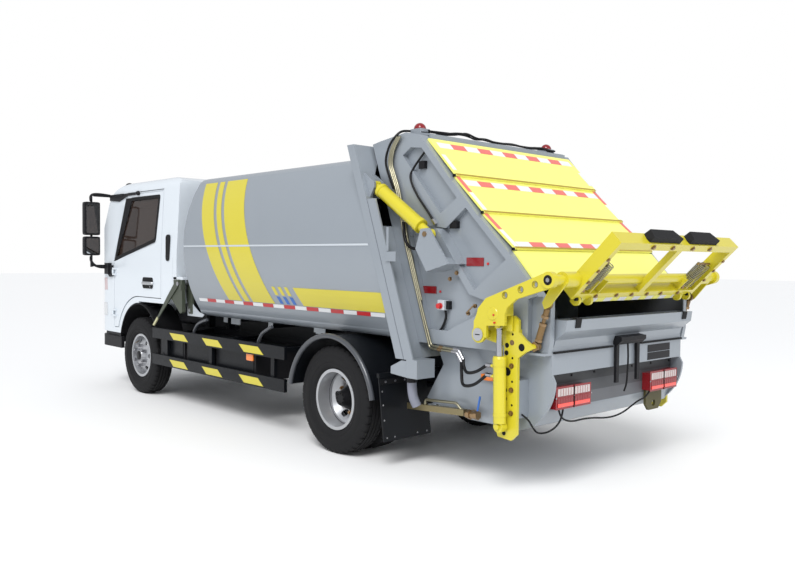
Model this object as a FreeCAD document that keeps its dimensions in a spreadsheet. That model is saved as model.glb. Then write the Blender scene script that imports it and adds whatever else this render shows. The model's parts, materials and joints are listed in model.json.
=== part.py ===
import FreeCAD, Part

import math
import os

import Sketcher

# Rear-loading compactor garbage truck on a light two-axle cab-over chassis.
# Millimetres, +X forward, +Y left, +Z up, the wheels stand on Z = 0.
# Lengths along the truck are measured ahead of or behind the rear axle, or for the cab and
# all that goes with it, ahead of the front axle.

SIZES = {
    # Chassis and wheels
    "axle_x": -1080, "wheelbase": 3308, "tyre_radius": 389, "tyre_width": 200, "rim_radius": 205,
    "flange_radius": 220, "front_track_half": 790, "twin_outer": 870, "twin_inner": 635,
    "kingpin_half": 690, "kingpin_radius": 18, "pin_play": 0.1, "seat_play": 0.4,
    "rail_inner": 345, "rail_outer": 410, "rail_low": 520, "rail_high": 700, "rail_wall": 10,
    "rail_front": 752, "rail_tail": 735, "body_floor": 860,
    # Cab, whose lengths are measured ahead of the front axle
    "cab_half": 900, "cab_front": 1027, "cab_rear": -828, "cab_low": 590, "cab_floor": 945, "cab_deck": 720,
    "cab_roof": 2180, "cab_wall": 40, "arch_ahead": -18, "arch_height": 485, "arch_radius": 445,
    "screen_foot": 1345, "screen_top_ahead": 757, "screen_top": 1985,
    "corner_radius": 240, "eave_radius": 110, "door_rear": -512, "door_front": 577, "door_top": 2068,
    "door_gap": 7, "glass_thick": 8, "glass_inset": 10, "glass_play": 0.3,
    "bumper_low": 430, "bumper_high": 548, "bumper_wall": 35, "tilt_ahead": 967, "tilt_height": 620,
    # Load body
    "body_front": -1118, "body_half": 980, "body_shoulder": 810, "shoulder_low": 915,
    "shoulder_high": 2085, "roof_half": 700, "roof_edge": 2130, "body_crown": 2150, "body_wall": 12,
    "side_arc": 1092, "corner_arc": 75, "crown_arc": 12260,
    "slot_height": 1756, "slot_behind": 400, "slot_slope": 0.363, "ring_depth": 74, "ring_half": 985,
    "ring_low": 756, "ring_high": 2189, "post_high": 1808, "post_web_high": 1625, "post_depth": 82,
    "slot_gap": 6,
    # Tail
    "hinge_behind": 262, "hinge_rise": 36, "hinge_pin": 15, "roof_apex": 2264, "tail_half": 825,
    "tail_skin": 785, "tail_inner": 745.3, "cover_half": 778, "cover_thick": 14, "hopper_half": 745,
    "hopper_wall": 15,
    # Tail lift cylinders
    "lift_half": 905, "lift_pin_behind": 384, "lift_pin_height": 1905, "lift_eye_behind": 910,
    "lift_eye_height": 1563, "lift_tube": 46, "lift_rod": 22, "lift_tube_length": 470,
    # Bin lifter
    "pivot_behind": 1370, "pivot_height": 962, "tip_behind": 1876, "tip_height": 1297,
    "arm_low": 930, "arm_high": 950, "arm_tube": 30, "frame_half": 703, "frame_depth": 86,
    "rod_eye_behind": 1498, "rod_eye_height": 1019, "jack_behind": 1510, "jack_height": 430,
    "jack_half": 908, "jack_tube": 38, "jack_rod": 19, "jack_tube_length": 380,
    "link_foot_behind": 1700, "link_foot_height": 910, "link_head_behind": 1776,
    "link_head_rise": 244, "link_half": 815, "plate_half": 844, "plate_thick": 20,
    # Guards, fenders, tanks
    "guard_half": 940, "guard_front": -408, "guard_rear": 640, "guard_high": 658, "guard_low": 403,
    "guard_bar": 100, "fender_radius": 480, "fender_height": 370, "fender_wall": 10, "fender_half": 1000,
    "flap_low": 190, "flap_high": 610,
}

doc = FreeCAD.newDocument("garbage_truck")
sheet = doc.addObject("Spreadsheet::Sheet", "Sizes")


class Size:
    """A number together with the sheet expression that gives it."""

    def __init__(self, value, text):
        self.value = value
        self.text = text

    def __add__(self, other):
        return Size(self.value + number(other), f"({self.text} + {words(other)})")

    def __radd__(self, other):
        return Size(number(other) + self.value, f"({words(other)} + {self.text})")

    def __sub__(self, other):
        return Size(self.value - number(other), f"({self.text} - {words(other)})")

    def __rsub__(self, other):
        return Size(number(other) - self.value, f"({words(other)} - {self.text})")

    def __mul__(self, other):
        return Size(self.value * number(other), f"({self.text} * {words(other)})")

    def __rmul__(self, other):
        return Size(number(other) * self.value, f"({words(other)} * {self.text})")

    def __truediv__(self, other):
        return Size(self.value / number(other), f"({self.text} / {words(other)})")

    def __rtruediv__(self, other):
        return Size(number(other) / self.value, f"({words(other)} / {self.text})")

    def __neg__(self):
        return Size(-self.value, f"(-1 * {self.text})")


def number(value):
    return value.value if isinstance(value, Size) else float(value)


def words(value):
    if isinstance(value, Size):
        return value.text
    return f"({float(value)})" if value < 0 else str(float(value))


def heading(across, up):
    """Angle from the vertical towards +X, in degrees."""
    return Size(math.degrees(math.atan2(number(across), number(up))),
                f"atan2({words(across)}; {words(up)})")


def leg(slope, side):
    """The third side of a right-angled triangle, from its longest side and another."""
    return Size(math.sqrt(number(slope) ** 2 - number(side) ** 2),
                f"sqrt({words(slope)} * {words(slope)} - {words(side)} * {words(side)})")


def reach(across, up):
    return Size(math.hypot(number(across), number(up)),
                f"sqrt({words(across)} * {words(across)} + {words(up)} * {words(up)})")


class Named:
    pass


S = Named()
for row, (alias, value) in enumerate(SIZES.items(), start=1):
    sheet.set(f"A{row}", alias)
    sheet.set(f"B{row}", str(value))
    sheet.setAlias(f"B{row}", alias)
    setattr(S, alias, Size(float(value), f"Sizes.{alias}"))
doc.recompute()


def ahead(distance):
    return S.axle_x + distance


def behind(distance):
    return S.axle_x - distance


def fore(distance):
    """Ahead of the front axle, or behind it where negative."""
    return S.axle_x + S.wheelbase + distance


def bind(target, path, value):
    target.setExpression(path, words(value))


def both(half):
    """The span from -half to half."""
    return (-half, half)


def block(name, x, y, z):
    """A box over three spans, each a pair of low and high."""
    box = doc.addObject("Part::Box", name)
    for size, place, span in (("Length", "x", x), ("Width", "y", y), ("Height", "z", z)):
        bind(box, size, span[1] - span[0])
        bind(box, f"Placement.Base.{place}", span[0])
    return box


TURNS = {
    "x": (FreeCAD.Vector(0, 1, 0), 90),
    "y": (FreeCAD.Vector(1, 0, 0), -90),
    "z": (FreeCAD.Vector(0, 0, 1), 0),
}


def rod(name, axis, start, length, radius):
    """A round bar along one axis from its start point."""
    bar = doc.addObject("Part::Cylinder", name)
    bar.Placement = FreeCAD.Placement(FreeCAD.Vector(), FreeCAD.Rotation(*TURNS[axis]))
    bind(bar, "Radius", radius)
    bind(bar, "Height", length)
    for place, value in zip("xyz", start):
        bind(bar, f"Placement.Base.{place}", value)
    return bar


def slant_rod(name, start, end, y, radius, skip=0, length=None):
    """A round bar in a plane of constant Y, from start towards end, both (x, z)."""
    across = end[0] - start[0]
    up = end[1] - start[1]
    span = reach(across, up)
    bar = doc.addObject("Part::Cylinder", name)
    bar.Placement = FreeCAD.Placement(FreeCAD.Vector(), FreeCAD.Rotation(FreeCAD.Vector(0, 1, 0), 10))
    bind(bar, "Placement.Rotation.Angle", heading(across, up))
    bind(bar, "Placement.Base.x", start[0] + across * skip / span)
    bind(bar, "Placement.Base.y", y)
    bind(bar, "Placement.Base.z", start[1] + up * skip / span)
    bind(bar, "Radius", radius)
    bind(bar, "Height", span - skip if length is None else length)
    return bar


def sketch_outline(body, name, plane, corners, low):
    """A closed sketch. A corner is (x, y) or (x, y, bend), where bend is the radius of an
    arc to the next corner, with its centre to the left, or to the right where negative."""
    sketch = body.newObject("Sketcher::SketchObject", name)
    support = [item for item in body.Origin.OriginFeatures if item.Role == plane]
    sketch.AttachmentSupport = [(support[0], "")]
    sketch.MapMode = "FlatFace"
    bind(sketch, "AttachmentOffset.Base.z", low)
    shapes = []
    starts = []
    ends = []
    rounds = []
    count = len(corners)
    for i in range(count):
        ax, ay = number(corners[i][0]), number(corners[i][1])
        bx, by = number(corners[(i + 1) % count][0]), number(corners[(i + 1) % count][1])
        bend = corners[i][2] if len(corners[i]) > 2 else None
        if bend is None:
            shapes.append(Part.LineSegment(FreeCAD.Vector(ax, ay, 0), FreeCAD.Vector(bx, by, 0)))
            starts.append(1)
            ends.append(2)
            continue
        radius = abs(number(bend))
        side = 1 if number(bend) > 0 else -1
        chord = math.hypot(bx - ax, by - ay)
        rise = math.sqrt(radius ** 2 - (chord / 2) ** 2)
        middle_x = (ax + bx) / 2 - side * (by - ay) / chord * rise
        middle_y = (ay + by) / 2 + side * (bx - ax) / chord * rise
        first = math.atan2(ay - middle_y, ax - middle_x)
        last = math.atan2(by - middle_y, bx - middle_x)
        if side < 0:
            first, last = last, first
        ring = Part.Circle(FreeCAD.Vector(middle_x, middle_y, 0), FreeCAD.Vector(0, 0, 1), radius)
        shapes.append(Part.ArcOfCircle(ring, first, last))
        starts.append(1 if side > 0 else 2)
        ends.append(2 if side > 0 else 1)
        rounds.append((i, bend if side > 0 else -bend))
    sketch.addGeometry(shapes, False)
    rules = []
    values = []
    for i in range(count):
        rules.append(Sketcher.Constraint("Coincident", i, ends[i], (i + 1) % count, starts[(i + 1) % count]))
        values.append(None)
    for i in range(count):
        for kind, value in (("DistanceX", corners[i][0]), ("DistanceY", corners[i][1])):
            rules.append(Sketcher.Constraint(kind, i, starts[i], number(value)))
            values.append(value)
    for i, bend in rounds:
        rules.append(Sketcher.Constraint("Radius", i, number(bend)))
        values.append(bend)
    sketch.addConstraint(rules)
    for index, value in enumerate(values):
        if isinstance(value, Size):
            bind(sketch, f"Constraints[{index}]", value)
    return sketch


def slab(name, plane, corners, low, high):
    """An outline given thickness between low and high along the plane's own axis."""
    body = doc.addObject("PartDesign::Body", name)
    start = -high if plane == "XZ_Plane" else low
    sketch = sketch_outline(body, name + "_outline", plane, corners, start)
    pad = body.newObject("PartDesign::Pad", name + "_pad")
    pad.Profile = sketch
    bind(pad, "Length", high - low)
    return body


def side_slab(name, corners, low, high):
    return slab(name, "XZ_Plane", corners, low, high)


def front_slab(name, corners, low, high):
    return slab(name, "YZ_Plane", corners, low, high)


def plan_slab(name, corners, low, high):
    return slab(name, "XY_Plane", corners, low, high)


def turned(name, corners, x, z):
    """An outline of (y, radius) turned about an axle along Y at x, z."""
    body = doc.addObject("PartDesign::Body", name)
    sketch = sketch_outline(body, name + "_outline", "YZ_Plane", corners, x)
    bind(sketch, "AttachmentOffset.Base.y", z)
    spin = body.newObject("PartDesign::Revolution", name + "_turn")
    spin.Profile = sketch
    spin.ReferenceAxis = (sketch, ["H_Axis"])
    spin.Angle = 360
    return body


def mirrored(name, source):
    """The same piece on the other side of the truck."""
    other = doc.addObject("Part::Mirroring", name)
    other.Source = source
    other.Normal = FreeCAD.Vector(0, 1, 0)
    return other


def fused(name, pieces):
    union = doc.addObject("Part::MultiFuse", name)
    union.Shapes = pieces
    union.Refine = True
    return union


def grouped(name, pieces):
    group = doc.addObject("Part::Compound", name)
    group.Links = pieces
    return group


def common(name, pieces):
    meet = doc.addObject("Part::MultiCommon", name)
    meet.Shapes = pieces
    return meet


def without(name, base, tools):
    rest = doc.addObject("Part::Cut", name)
    rest.Base = base
    rest.Tool = tools[0] if len(tools) == 1 else fused(name + "_tools", tools)
    return rest


def lead(name, route, thick):
    """A round lead along straight runs joined by tangent arcs, as large as the runs allow."""
    points = [FreeCAD.Vector(*[number(value) for value in point]) for point in route]
    edges = []
    radii = []
    last = points[0]
    for before, corner, after in zip(points, points[1:], points[2:]):
        into = corner - before
        away = after - corner
        run = 0.45 * min(into.Length, away.Length)
        half_turn = into.getAngle(away) / 2
        into = into.normalize()
        away = away.normalize()
        radius = run / math.tan(half_turn)
        inward = (away - into).normalize()
        first = corner - into * run
        second = corner + away * run
        edges.append(Part.LineSegment(last, first).toShape())
        crest = corner + inward * (radius / math.cos(half_turn) - radius)
        edges.append(Part.Arc(first, crest, second).toShape())
        radii.append(round(radius))
        last = second
    edges.append(Part.LineSegment(last, points[-1]).toShape())
    path = doc.addObject("Part::Feature", name + "_route")
    path.Shape = Part.Wire(edges)
    ring = doc.addObject("Part::Circle", name + "_ring")
    bind(ring, "Radius", thick / 2)
    turn = FreeCAD.Rotation(FreeCAD.Vector(0, 0, 1), points[1] - points[0])
    ring.Placement = FreeCAD.Placement(points[0], turn)
    sweep = doc.addObject("Part::Sweep", name)
    sweep.Sections = [ring]
    sweep.Spine = (path, [f"Edge{index + 1}" for index in range(len(edges))])
    sweep.Solid = True
    print(f"{name}: length {path.Shape.Length:.0f}, arcs {radii}")
    return sweep


def pair(name, left):
    """A piece and its mirror image, as one node of two solids."""
    return grouped(name, [left, mirrored(name + "_right", left)])


NODES = {}


def keep(name, item):
    item.Label = name
    NODES[name] = item
    return item


# Chassis

def rail(name):
    web = [(S.rail_inner, S.rail_low), (S.rail_outer, S.rail_low), (S.rail_outer, S.rail_high),
           (S.rail_inner, S.rail_high), (S.rail_inner, S.rail_high - S.rail_wall),
           (S.rail_outer - S.rail_wall, S.rail_high - S.rail_wall),
           (S.rail_outer - S.rail_wall, S.rail_low + S.rail_wall),
           (S.rail_inner, S.rail_low + S.rail_wall)]
    return front_slab(name, web, behind(S.rail_tail), fore(S.rail_front))


left_rail = rail("rail")
keep("chassis_rails", pair("rails", left_rail))


def cross_members():
    """Members between the rails, the body's sills on them, and the bearers outside the sills."""
    web = S.rail_outer - S.rail_wall - S.seat_play
    pieces = []
    for index, place in enumerate((fore(652), fore(-588), ahead(1900), ahead(1080), ahead(420), behind(300),
                                   behind(700))):
        pieces.append(block(f"cross_{index}", (place, place + 60), both(web),
                            (S.rail_high - 90, S.rail_high - S.rail_wall - S.seat_play)))
    sill = block("sill", (behind(560), fore(S.body_front) - 40), (S.rail_inner, S.rail_outer),
                 (S.rail_high + S.seat_play, S.body_floor - S.seat_play))
    outside = [sill]
    for index, place in enumerate((1980, 1240, 560)):
        outside.append(block(f"bearer_{index}", (ahead(place), ahead(place) + 70),
                             (S.rail_outer + S.seat_play, S.body_half - 340),
                             (S.body_floor - 60, S.body_floor - S.seat_play)))
    left = grouped("sill_side", outside)
    return grouped("members", pieces + [left, mirrored("sill_side_right", left)])


keep("cross_members", cross_members())


def cab_stand():
    """Hoop that the parked cab rests on, and the gantry with the cab's lock behind it."""
    rest = [block("cab_rest", (fore(-593), fore(-523)), both(500), (880, S.cab_floor - S.seat_play))]
    gantry = [block("lock_beam", (fore(-973), fore(-903)), both(720), (985, 1050)),
              side_slab("cab_lock", [
                  (fore(-978), 870), (fore(-898), 870), (fore(-853), 1040), (fore(-853), 1180),
                  (fore(-958), 1180), (fore(-978), 1040)], 715, 790)]
    foot = S.rail_high + S.seat_play
    for side, low in (("left", S.rail_inner), ("right", -S.rail_outer)):
        span = (low, low + S.rail_outer - S.rail_inner)
        rest.append(block(f"rest_post_{side}", (fore(-588), fore(-528)), span, (foot, 885)))
        gantry.append(block(f"lock_post_{side}", (fore(-968), fore(-908)), span, (foot, 1050)))
    return grouped("stand", [fused("rest_hoop", rest), fused("lock_gantry", gantry)])


keep("cab_stand", cab_stand())


TILT_PIN = 14


def front_bumper():
    def outline(inset):
        front = fore(S.cab_front) - inset
        half = S.cab_half - inset
        bend = S.corner_radius - inset
        rear = fore(397)
        return [(rear, -half), (front - bend, -half, bend), (front, -half + bend), (front, half - bend, bend),
                (front - bend, half), (rear, half)]

    outer = plan_slab("bumper_outer", outline(0), S.bumper_low, S.bumper_high)
    inner = plan_slab("bumper_inner", outline(S.bumper_wall), S.bumper_low - 10, S.bumper_high + 10)
    hollow = without("bumper_shell", outer, [inner])
    # Horns ahead of the rails carry the bumper, and the pins that the cab tilts on
    horn = block("bumper_horn", (fore(S.rail_front) + S.seat_play, fore(S.cab_front) - S.bumper_wall + 2),
                 (S.rail_inner, S.rail_outer), (S.bumper_low + 20, S.bumper_high - 15))
    pedestal = block("cab_pedestal", (fore(S.rail_front) + S.seat_play, fore(S.tilt_ahead) - 13),
                     (S.rail_inner, S.rail_outer), (S.rail_low, S.tilt_height + 15))
    pin = rod("tilt_pin", "y", (fore(S.tilt_ahead), S.rail_inner, S.tilt_height), 113, TILT_PIN)
    left = fused("bumper_mount", [horn, pedestal, pin])
    return fused("bumper", [hollow, left, mirrored("bumper_mount_right", left)])


keep("front_bumper", front_bumper())

keep("engine_block", fused("engine", [
    block("engine_bulk", (fore(-348), fore(472)), both(290), (430, 925)),
    block("engine_mounts", (fore(-8), fore(92)), both(S.rail_inner - S.seat_play), (640, S.rail_high)),
]))


# Wheels

def tyre(name, middle):
    half = S.tyre_width / 2
    bead = S.tyre_width * 0.32
    seat = S.rim_radius + 1
    lip = S.flange_radius + 2
    return turned(name, [
        (middle - bead, seat), (middle + bead, seat), (middle + bead, lip),
        (middle + half * 0.88, lip + 18, 90),
        (middle + half, S.tyre_radius - 105, 170), (middle + half * 0.94, S.tyre_radius - 35),
        (middle + half * 0.72, S.tyre_radius - 3), (middle, S.tyre_radius),
        (middle - half * 0.72, S.tyre_radius - 3), (middle - half * 0.94, S.tyre_radius - 35, 170),
        (middle - half, S.tyre_radius - 105, 90), (middle - half * 0.88, lip + 18), (middle - bead, lip),
    ], AXLE[0], S.tyre_radius)


def rim_ring(name, middle, disc_out, disc_in, hub):
    """Rim barrel with its flanges, and the disc that carries it."""
    edge = S.tyre_width * 0.375
    return turned(name, [
        (middle - edge, S.flange_radius), (middle - edge + 7, S.flange_radius),
        (middle - edge + 9, S.rim_radius), (middle + edge - 9, S.rim_radius),
        (middle + edge - 7, S.flange_radius), (middle + edge, S.flange_radius),
        (middle + edge, S.rim_radius - 8), (disc_in + 8, S.rim_radius - 12),
        (disc_out, hub + 55), (disc_out, hub), (disc_out - 12, hub),
        (disc_out - 12, hub + 50), (disc_in - 6, S.rim_radius - 12), (middle - edge, S.rim_radius - 8),
    ], AXLE[0], S.tyre_radius)


def hand_holes(name, y, count, circle, radius):
    holes = []
    for index in range(count):
        turn = 360.0 / count * (index + 0.5)
        holes.append(rod(f"{name}_{index}", "y", (AXLE[0] + circle * math.sin(math.radians(turn)), y,
                                                  S.tyre_radius + circle * math.cos(math.radians(turn))),
                         60, radius))
    return holes


def nuts(name, y, count, circle, radius, length):
    pieces = []
    for index in range(count):
        turn = 360.0 / count * index
        pieces.append(rod(f"{name}_{index}", "y", (AXLE[0] + circle * math.sin(math.radians(turn)), y,
                                                   S.tyre_radius + circle * math.cos(math.radians(turn))),
                          length, radius))
    return pieces


AXLE = [fore(0)]
HUB_BORE = 40
SPINDLE = 39.9
TUBE = 62


def front_wheel():
    middle = S.front_track_half
    rubber = tyre("front_tyre_turn", middle)
    ring = rim_ring("front_rim_turn", middle, middle + 62, middle + 10, 70)
    holed = without("front_rim_holed", ring, hand_holes("front_hole", middle + 5, 6, 150, 26))
    hub = turned("front_hub", [(middle - 10, HUB_BORE), (middle + 50, HUB_BORE), (middle + 50, 0.0),
                               (middle + 98, 0.0), (middle + 98, 52), (middle + 60, 72),
                               (middle - 10, 72)], AXLE[0], S.tyre_radius)
    metal = fused("front_rim", [holed, hub] + nuts("front_nut", middle + 60, 6, 100, 14, 26))
    return rubber, metal


front_rubber, front_metal = front_wheel()
keep("front_tyre_left", front_rubber)
keep("front_tyre_right", mirrored("front_tyre_mirror", front_rubber))
keep("front_rim_left", front_metal)
keep("front_rim_right", mirrored("front_rim_mirror", front_metal))

AXLE[0] = S.axle_x


def rear_wheel():
    outer = S.twin_outer
    inner = S.twin_inner
    rubber = grouped("rear_rubber", [tyre("twin_outer_tyre", outer), tyre("twin_inner_tyre", inner)])
    outer_ring = rim_ring("twin_outer_rim", outer, outer - 105, outer - 50, 70)
    inner_ring = rim_ring("twin_inner_rim", inner, inner + 118, inner + 50, 70)
    holed = without("twin_rim_holed", outer_ring, hand_holes("twin_hole", outer - 125, 6, 150, 26))
    hub = turned("rear_hub", [
        (inner + 60, TUBE + S.pin_play), (outer - 90, TUBE + S.pin_play), (outer - 40, 55), (outer - 30, 0.0),
        (outer + 20, 0.0), (outer + 20, 50), (outer - 20, 66), (outer - 80, 100), (inner + 60, 100)],
        AXLE[0], S.tyre_radius)
    metal = fused("rear_rims", [holed, inner_ring, hub] + nuts("rear_nut", outer - 107, 6, 112, 14, 26))
    return rubber, metal


rear_rubber, rear_metal = rear_wheel()
keep("rear_tyres_left", rear_rubber)
keep("rear_tyres_right", mirrored("rear_tyres_mirror", rear_rubber))
keep("rear_rims_left", rear_metal)
keep("rear_rims_right", mirrored("rear_rims_mirror", rear_metal))


# Axles

def front_axle():
    x = fore(0)
    half = S.kingpin_half
    beam = front_slab("front_beam", [
        (-half, 350), (-half + 120, 350), (-half + 230, 330), (half - 230, 330), (half - 120, 350),
        (half, 350), (half, 428), (half - 120, 428), (half - 230, 396), (-half + 230, 396),
        (-half + 120, 428), (-half, 428)], x - 36, x + 36)
    eyes = [rod(f"king_eye_{side}", "z", (x, place, 350), 78, 42)
            for side, place in (("left", half), ("right", -half))]
    bores = [rod(f"king_bore_{side}", "z", (x, place, 340), 100, S.kingpin_radius + S.pin_play)
             for side, place in (("left", half), ("right", -half))]
    spring = side_slab("front_spring", [
        (x - 600, 470), (x - 300, 428), (x, 416), (x + 300, 428), (x + 600, 470),
        (x + 600, 486), (x + 300, 446), (x, 446), (x - 300, 446), (x - 600, 486)],
        S.rail_inner, S.rail_outer)
    saddle = block("front_saddle", (x - 60, x + 60), (S.rail_inner, S.rail_outer), (380, 420))
    hangers = [block(f"front_hanger_{index}", (x + place - 22, x + place + 22), (S.rail_inner, S.rail_outer),
                     (470, S.rail_low - S.seat_play)) for index, place in enumerate((-590, 590))]
    left = fused("front_spring_left", [spring, saddle] + hangers)
    whole = fused("front_axle_body", [beam, left, mirrored("front_spring_right", left)] + eyes)
    return without("front_axle_bored", whole, bores)


keep("front_axle", front_axle())


def rear_axle():
    x = S.axle_x
    z = S.tyre_radius
    tube = rod("rear_tube", "y", (x, -(S.twin_inner + 112), z), (S.twin_inner + 112) * 2, TUBE)
    bulge = doc.addObject("Part::Sphere", "diff_bulge")
    bind(bulge, "Radius", 175)
    bind(bulge, "Placement.Base.x", x)
    bind(bulge, "Placement.Base.z", z)
    nose = rod("diff_nose", "x", (x, 0, z), 300, 70)
    spring = side_slab("rear_spring", [
        (x - 640, 500), (x - 320, 470), (x, 452), (x + 320, 470), (x + 640, 500),
        (x + 640, 516), (x + 320, 496), (x, 490), (x - 320, 496), (x - 640, 516)],
        S.rail_inner, S.rail_outer)
    saddle = block("rear_saddle", (x - 70, x + 70), (S.rail_inner, S.rail_outer), (z, 460))
    hangers = [block(f"rear_hanger_{index}", (x + place - 22, x + place + 22), (S.rail_inner, S.rail_outer),
                     (505, S.rail_low - S.seat_play)) for index, place in enumerate((-630, 630))]
    left = fused("rear_spring_left", [spring, saddle] + hangers)
    return fused("rear_axle_body", [tube, bulge, nose, left, mirrored("rear_spring_right", left)])


keep("rear_axle", rear_axle())


def drive_shaft():
    rear = S.axle_x + 300 + S.seat_play
    front = fore(-348) - S.seat_play
    low = S.tyre_radius
    high = 520
    yokes = [rod("rear_yoke", "x", (rear, 0, low), 60, 48),
             rod("front_yoke", "x", (front - 60, 0, high), 60, 48)]
    return fused("drive", yokes + [slant_rod("shaft", (rear + 40, low), (front - 40, high), 0, 38)])


keep("drive_shaft", drive_shaft())


def knuckle():
    x = fore(0)
    y = S.kingpin_half
    arms = [plan_slab(f"knuckle_arm_{index}", [
        (x - 36, y, 38), (x + 36, y), (x + 36, y + 62), (x - 36, y + 62)], low, low + 22)
        for index, low in enumerate((350 - S.seat_play - 22, 428 + S.seat_play))]
    web = block("knuckle_web", (x - 36, x + 36), (y + 44, y + 62),
                (350 - S.seat_play - 22, 450 + S.seat_play))
    pin = rod("kingpin", "z", (x, y, 340), 100, S.kingpin_radius)
    spindle = rod("spindle", "y", (x, y + 50, S.tyre_radius), S.front_track_half - y - 50 + 45, SPINDLE)
    lever = block("steering_lever", (x - 150, x - 30), (y + 44, y + 62), (330, 352))
    return fused("knuckle_body", arms + [web, pin, spindle, lever])


left_knuckle = knuckle()
keep("knuckle_left", left_knuckle)
keep("knuckle_right", mirrored("knuckle_mirror", left_knuckle))


# Side guards, boxes, fenders

def side_guards():
    bars = []
    for index, height in enumerate((S.guard_high, S.guard_low)):
        bars.append(block(f"guard_bar_{index}", (ahead(S.guard_rear), fore(S.guard_front)),
                          (S.guard_half - 28, S.guard_half),
                          (height - S.guard_bar / 2, height + S.guard_bar / 2)))
    back = S.guard_half - 28 - S.seat_play
    for index, place in enumerate((ahead(820), ahead(1800), fore(-668))):
        span = (place, place + 50)
        bars.append(block(f"guard_post_{index}", span, (back - 32, back),
                          (S.guard_low - 40, S.guard_high + 40)))
        bars.append(block(f"guard_arm_{index}", span, (S.rail_outer + S.seat_play, back - 32 - S.seat_play),
                          (S.guard_high - 20, S.guard_high + 20)))
    return pair("guards", grouped("guard_left", bars))


keep("side_guards", side_guards())


def side_boxes():
    """Batteries, tools and the hydraulic tank, in a row behind the left guard."""
    boxes = []
    spans = ((ahead(1150), fore(-1518)), (fore(-1478), fore(-978)), (fore(-938), fore(-448)))
    for index, span in enumerate(spans):
        boxes.append(block(f"side_box_{index}", span, (S.rail_outer + S.seat_play, S.guard_half - 70),
                           (S.guard_low - 33, S.guard_high - 22)))
    return grouped("boxes", boxes)


keep("side_boxes", side_boxes())
tank = rod("tank", "x", (ahead(900), -(S.rail_outer + 190 + S.seat_play), 540), 780, 190)
keep("fuel_tank", tank)


def rear_fenders():
    radius = S.fender_radius
    top = S.fender_height
    ring = rod("fender_ring", "y", (S.axle_x, S.twin_inner - 80, top), S.fender_half - S.twin_inner + 80,
               radius)
    bore = rod("fender_bore", "y", (S.axle_x, S.twin_inner - 90, top), S.fender_half - S.twin_inner + 100,
               radius - S.fender_wall)
    below = block("fender_below", (S.axle_x - 600, S.axle_x + 600), (500, 1100), (-200, 450))
    arch = without("fender_arch", ring, [bore, below])
    stays = [block(f"fender_stay_{index}", (S.axle_x + place, S.axle_x + place + 40),
                   (S.rail_outer + S.seat_play, S.twin_inner + 40), (590, 630))
             for index, place in enumerate((-442, 400))]
    hanger = block("flap_hanger", (S.axle_x - 545, S.axle_x - 520),
                   (S.rail_outer + S.seat_play, S.fender_half), (S.flap_high, S.flap_high + 30))
    top = S.flap_high - S.seat_play
    flap = side_slab("mud_flap", [(S.axle_x - 600, S.flap_low), (S.axle_x - 590, S.flap_low),
                                  (S.axle_x - 534, top), (S.axle_x - 544, top)], 560, S.fender_half)
    return pair("fenders", grouped("fender_left", [fused("fender_stayed", [arch] + stays), hanger, flap]))


keep("rear_fenders", rear_fenders())


# Load body

def barrel_outline(inset):
    half = S.body_shoulder - inset
    low = S.shoulder_low
    high = S.shoulder_high
    floor = S.body_floor + inset
    flat = S.body_shoulder - 75
    edge = S.roof_edge - inset
    roof = S.roof_half
    return [
        (-flat, floor), (flat, floor, S.corner_arc - inset * 0.2), (half, low, S.side_arc),
        (half, high, S.corner_arc + 80), (roof, edge, S.crown_arc), (-roof, edge, S.corner_arc + 80),
        (-half, high, S.side_arc), (-half, low, S.corner_arc - inset * 0.2),
    ]


def slot_x(height, shift=0):
    """The slanted plane between the load body and the tail, moved ahead by shift."""
    return behind(S.slot_behind) - (S.slot_height - height) * S.slot_slope + shift


def slanted(name, rear_shift, front_x, low, high, half):
    return side_slab(name, [(slot_x(low, rear_shift), low), (front_x, low), (front_x, high),
                            (slot_x(high, rear_shift), high)], -half, half)


def body_shell():
    front = fore(S.body_front)
    outer = front_slab("barrel_outer", barrel_outline(0), behind(900), front)
    inner = front_slab("barrel_inner", barrel_outline(S.body_wall), behind(910), front - S.body_wall)
    tube = without("barrel_tube", outer, [inner])
    keepers = slanted("barrel_keep", S.ring_depth + S.seat_play, front + 10, 700, 2300, 1100)
    return common("barrel", [tube, keepers])


keep("body_shell", body_shell())


def ring_strip(name, rear_shift, depth, low, high, y_low, y_high):
    """A bar that follows the slot plane between two heights."""
    return side_slab(name, [(slot_x(low, rear_shift), low), (slot_x(low, rear_shift + depth), low),
                            (slot_x(high, rear_shift + depth), high), (slot_x(high, rear_shift), high)],
                     y_low, y_high)


HINGE_HEIGHT = S.ring_high + S.hinge_rise


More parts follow.
